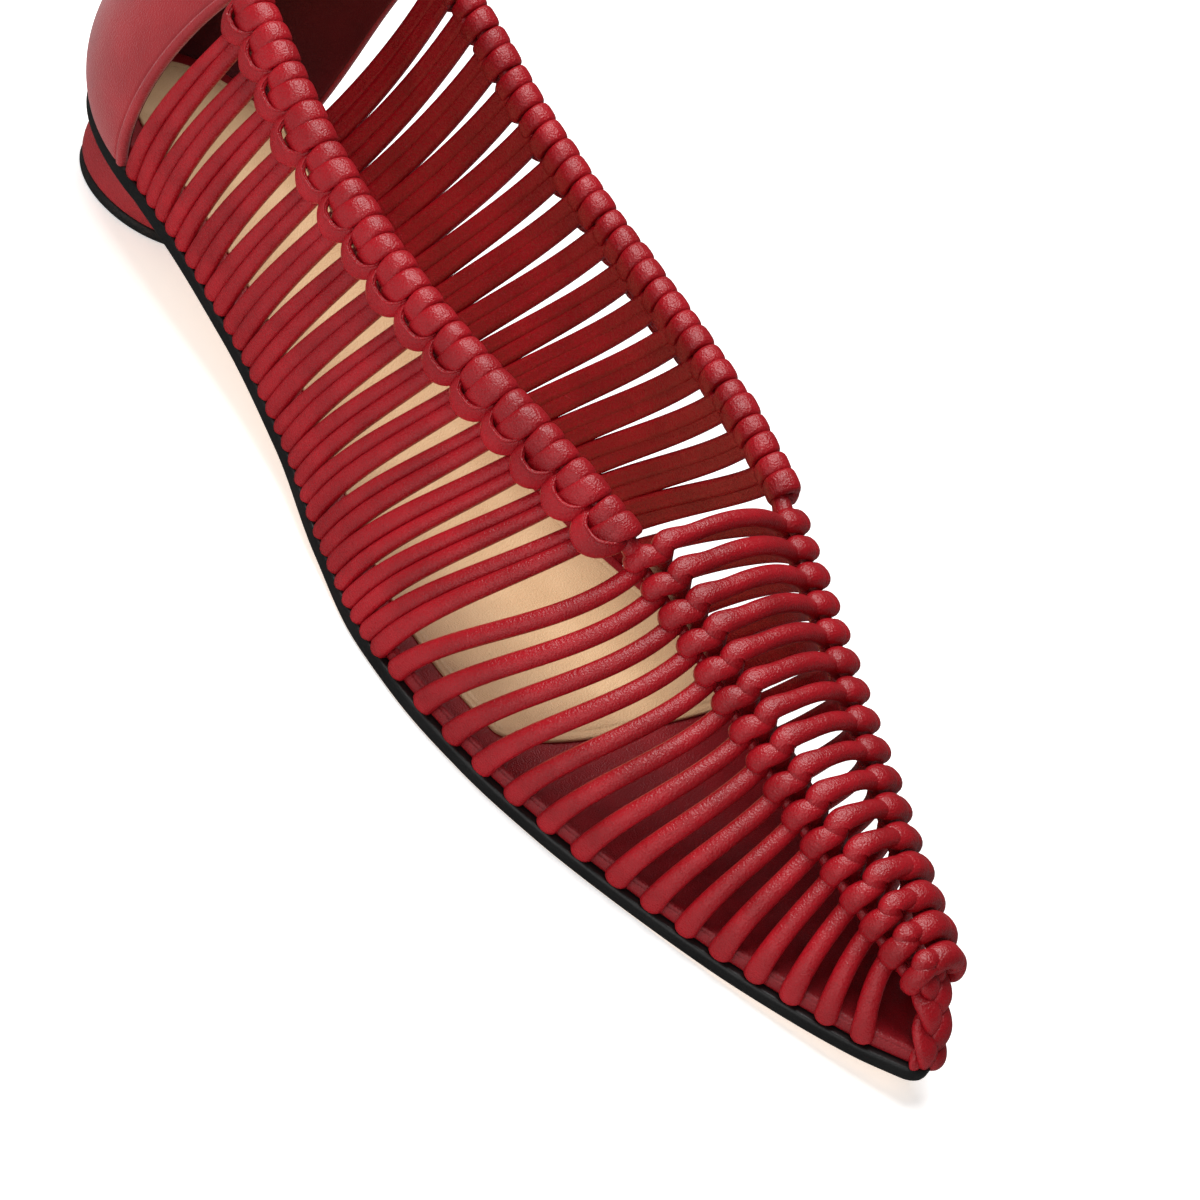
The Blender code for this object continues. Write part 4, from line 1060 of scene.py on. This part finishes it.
FAR_LOBE = np.array([
    (0.0, -4.3, 1.6, 0.0, 2.2, 1.6), (0.0, -3.5, 3.1, 0.0, 2.5, 1.9), (0.0, -1.9, 4.0, 0.0, 2.65, 2.15),
    (0.0, -0.1, 4.1, 0.0, 2.65, 2.15), (0.0, 1.4, 3.3, 0.0, 2.4, 1.9), (0.0, 2.2, 2.0, 0.0, 2.0, 1.5),
])
# The second far bead lies further out along its cord, higher, and is a little smaller.
OUTER_LOBE = FAR_LOBE + (0.0, 2.4, 0.5, 0.0, -0.1, -0.1)
# Towards the toe the near beads move in over the foot and forward, and turn across the row.
TOE_LOBE_IN, TOE_LOBE_AHEAD, TOE_LOBE_TURN = 1.0, 0.9, 0.85
# The far beads grow longer and wider before the toe, move in and lie higher over the cords.
TOE_FAR_LONGER, TOE_FAR_WIDER, TOE_FAR_IN, TOE_FAR_LIFT = 0.5, 0.16, 1.6, 0.6


def laid(hoops, row_ways, profile):
    """Cords from rows of six numbers, as a knot's parts are given, hoops by stations by six:
    each point goes along its hoop, then off it, then forward along the row of knots."""
    base = on_hoops(hoops, profile[..., ON_CORD], np.zeros(profile.shape[:2]))
    row_ways = row_ways[:, None]
    path = base.path + profile[..., [OFF]] * base.out + profile[..., [IN_ROW]] * row_ways
    return facing(path, base.out + profile[..., [TURN]] * row_ways)


def knot_row(hoops, place, lift):
    """Points of a row of knots and their directions out of the upper."""
    knots = on_hoops(hoops, place[:, None] + KNOT_STEPS, np.full((len(place), 3), lift))
    return knots.path[:, 1], knots.out[:, 1]


def row_way(hoops, place):
    """Direction of a row of knots at each knot."""
    return headings(knot_row(hoops, place, 0.0)[0])


def knot_room(hoops):
    """How much shorter a knot's inner half is where the two rows come close, near the toe."""
    return np.clip((hoops.far - hoops.near - ROOM_TAKEN) / ROOM_FULL, ROOM_LEAST, 1.0)[:, None]


def cross_cords(hoops, random):
    """Cords over the arch: each comes up in front of its near knot, bends over it in a hood, and
    runs over the arch in under the far knot. The hood goes from one table to the other with the
    room between the rows."""
    room = knot_room(hoops)
    wide = ((room - room.min()) / (room.max() - room.min()))[..., None]
    hood = TOE_HOOD + wide * (HOOD - TOE_HOOD)
    hood[..., ON_CORD] = hoops.near[:, None] + hood[..., ON_CORD] * room
    share = np.linspace(0, 1, CROSS_RUN_POINTS)[1:]
    run = np.repeat(hood[:, -1:], len(share), axis=1)
    run[..., ON_CORD] += share * (hoops.far[:, None] - CROSS_SHORT - hood[:, -1:, ON_CORD])
    run[..., OFF] += share * (CROSS_END_LIFT - hood[:, -1:, OFF])
    profile = spline(np.concatenate([hood, run], axis=1), CROSS_STATIONS)
    cord = laid(hoops, row_way(hoops, hoops.near), profile)
    ends = rounded_ends(cord.path, *CROSS_ENDS)
    half_wide = profile[..., HALF_WIDE] * ends * varied(random, CROSS_VARIES, len(room))
    half_thick = profile[..., HALF_THICK] * ends
    form = cords(cord, half_wide, half_thick, cord_outline(CROSS_SIDES, notch=CORD_NOTCH))
    return cord_piece("cross_cords", form)


def knot_lobes(hoops, random):
    """The beads of each knot that lie over the carrier cord: short cords, bowed, with rounded
    ends. A near bead is blunt outside and narrows in under the hood; a far one is a dome, with
    a second outside it. Towards the toe they change by the square of the way there."""
    forms = []
    toward_toe = np.linspace(0, 1, SINGLES + 1)[:, None] ** 2
    before_toe = toward_toe * (1 - toward_toe ** 4)
    beads = (
        (hoops.near, NEAR_LOBE, NEAR_LOBE_ENDS),
        (hoops.far, FAR_LOBE, FAR_LOBE_ENDS),
        (hoops.far, OUTER_LOBE, FAR_LOBE_ENDS),
    )
    for place, lobe, round_ends in beads:
        profile = np.repeat(spline(lobe, LOBE_STATIONS)[None], len(place), axis=0)
        if lobe is NEAR_LOBE:
            shorten = np.where(profile[..., ON_CORD] > 0, knot_room(hoops), 1.0)
            profile[..., IN_ROW] *= 1 - TOE_LOBE_TURN * toward_toe
            profile[..., IN_ROW] += TOE_LOBE_AHEAD * toward_toe
            profile[..., ON_CORD] = profile[..., ON_CORD] * shorten + TOE_LOBE_IN * toward_toe
        else:
            profile[..., ON_CORD] *= 1 + TOE_FAR_LONGER * before_toe
            profile[..., ON_CORD] -= TOE_FAR_IN * before_toe
            profile[..., OFF] += TOE_FAR_LIFT * before_toe
            profile[..., HALF_WIDE] *= 1 + TOE_FAR_WIDER * before_toe
        profile[..., ON_CORD] += place[:, None]
        grow = varied(random, LOBE_VARIES, len(place))
        cord = laid(hoops, row_way(hoops, place), profile)
        ends = rounded_ends(cord.path, *round_ends) * grow
        forms.append(cords(cord, profile[..., HALF_WIDE] * ends, profile[..., HALF_THICK] * ends,
                           cord_outline(LOBE_SIDES)))
    return cord_piece("knot_lobes", *forms)


def carrier_line(hoops, place):
    """Middle line of the cord under a row of knots and its direction out of the upper."""
    points, out = knot_row(hoops, place, CARRIER_LIFT)
    return spline(points, CARRIER_POINTS), unit(spline(out, CARRIER_POINTS))


def carrier_cords(hoops):
    """The cord that runs under each row of knots, from the throat to the toe."""
    forms = []
    for place in (hoops.near, hoops.far):
        path, out = (part[None] for part in carrier_line(hoops, place))
        cord = Cord(path, np.cross(out, headings(path)), out)
        size = CARRIER_RADIUS * rounded_ends(path, *CARRIER_ENDS)
        forms.append(cords(cord, size, size, round_outline(CARRIER_SIDES)))
    return cord_piece("carrier_cords", *forms)


# Middle line of the braid that closes the toe, from between the last knots to the sole's tip.
BRAID_LINE = np.array([
    (117.6, 2.2, 21.6), (119.6, 2.1, 20.6), (121.6, 2.0, 18.6), (123.6, 1.9, 16.7), (125.7, 1.6, 14.1),
    (127.6, 1.3, 11.3), (128.8, 1.2, 8.9), (129.0, 1.2, 7.6),
])
BRAID_TURNS, BRAID_SWING, BRAID_WEAVE, BRAID_HALF_WIDE, BRAID_HALF_THICK = 1.15, 2.5, 0.9, 2.45, 1.45
BRAID_STRANDS, BRAID_STATIONS, BRAID_SIDES, BRAID_ENDS = 3, 90, 18, (2.0, 2.0)


def toe_braid():
    """Three strands from the toe knots to the tip of the sole: each swings from side to side by
    a sine, a third of a turn after the last, and rides over and under by the double sine."""
    centre = spline(BRAID_LINE, BRAID_STATIONS)
    ahead = headings(centre)
    side = square_to(np.array([0.0, 1.0, 0.0]) + 0 * centre, ahead)
    out = np.cross(ahead, side)
    strand = np.arange(BRAID_STRANDS)[:, None] / BRAID_STRANDS
    turn = 2 * pi * (np.linspace(0, BRAID_TURNS, BRAID_STATIONS) + strand)
    swing = BRAID_SWING * np.sin(turn)
    weave = -BRAID_WEAVE * np.sin(2 * turn)
    cord = facing(centre + swing[..., None] * side + weave[..., None] * out, out)
    ends = rounded_ends(cord.path, *BRAID_ENDS)
    form = cords(cord, BRAID_HALF_WIDE * ends, BRAID_HALF_THICK * ends, cord_outline(BRAID_SIDES))
    return cord_piece("toe_braid", form)


# Stage, light and camera.


def floor():
    """A wide white floor that gives off a little light."""
    mesh = bpy.data.meshes.new("floor")
    corners = [(-FLOOR_HALF, -FLOOR_HALF, 0), (FLOOR_HALF, -FLOOR_HALF, 0),
               (FLOOR_HALF, FLOOR_HALF, 0), (-FLOOR_HALF, FLOOR_HALF, 0)]
    mesh.from_pydata(corners, [], [(0, 1, 2, 3)])
    material, _, shader, _ = new_material("floor")
    shader.inputs["Base Color"].default_value = (0.97, 0.96, 0.95, 1.0)
    shader.inputs["Roughness"].default_value = 0.9
    shader.inputs["Emission Color"].default_value = (1.0, 1.0, 1.0, 1.0)
    shader.inputs["Emission Strength"].default_value = 0.5
    shader.inputs["Specular IOR Level"].default_value = 0.1
    mesh.materials.append(material)
    thing = bpy.data.objects.new("floor", mesh)
    bpy.context.scene.collection.objects.link(thing)
    thing.visible_glossy = False


def soft_light(name, place, size, power):
    """A square area light that faces the shoe."""
    data = bpy.data.lights.new(name, "AREA")
    data.size = size
    data.energy = power
    thing = bpy.data.objects.new(name, data)
    back = unit(np.array(place) - LIGHT_TARGET)
    right = unit(np.cross(LIGHT_TOP, back))
    axes = np.column_stack([right, np.cross(back, right), back])
    turn = Matrix.Identity(4)
    for row in range(3):
        turn[row][:3] = axes[row]
        turn[row][3] = place[row]
    thing.matrix_world = turn
    bpy.context.scene.collection.objects.link(thing)


def studio():
    """Dim white surroundings, a large light above and behind, a second on the lateral side."""
    scene = bpy.context.scene
    world = bpy.data.worlds.new("studio")
    world.use_nodes = True
    world.node_tree.nodes["Background"].inputs["Color"].default_value = (1.0, 1.0, 1.0, 1.0)
    world.node_tree.nodes["Background"].inputs["Strength"].default_value = 0.1
    scene.world = world
    scene.view_settings.view_transform = "Standard"
    soft_light("key", place=(-0.38, 0.02, 0.95), size=0.8, power=13.5)
    soft_light("fill", place=(0.25, -1.00, 0.60), size=1.1, power=5.3)


def camera():
    """The photograph's view: turned round the shoe, rolled, at its distance and focal length."""
    turn = radians(VIEW_AZIMUTH)
    rise = radians(VIEW_ELEVATION)
    roll = radians(VIEW_ROLL)
    back = np.array([sin(turn) * cos(rise), -cos(turn) * cos(rise), sin(rise)])
    right = np.array([cos(turn), sin(turn), 0.0])
    up = np.cross(back, right)
    place = (VIEW_TARGET + VIEW_DISTANCE * back) * MM
    axes = (cos(roll) * right - sin(roll) * up, sin(roll) * right + cos(roll) * up, back, place)
    data = bpy.data.cameras.new("photo_view")
    data.sensor_width = SENSOR_WIDTH
    data.lens = FOCAL_PIXELS / IMAGE_PIXELS * SENSOR_WIDTH
    data.clip_end = 20.0
    thing = bpy.data.objects.new("photo_view", data)
    thing.matrix_world = Matrix([[*(axis[row] for axis in axes)] for row in range(3)] + [[0, 0, 0, 1]])
    bpy.context.scene.collection.objects.link(thing)
    bpy.context.scene.camera = thing


def main():
    """Make every piece, the stage and the camera."""
    random = np.random.default_rng(SEED)
    outsole()
    insole()
    sock_lining()
    heel()
    counter_lining(*counter())
    hoops = forepart_hoops()
    side_cords(random)
    collar_rope(hoops)
    collar_wraps(random)
    collar_loops(random)
    single_cords(hoops, random)
    far_cords(hoops, random)
    cross_cords(hoops, random)
    knot_lobes(hoops, random)
    carrier_cords(hoops)
    toe_braid()
    floor()
    studio()
    camera()


main()
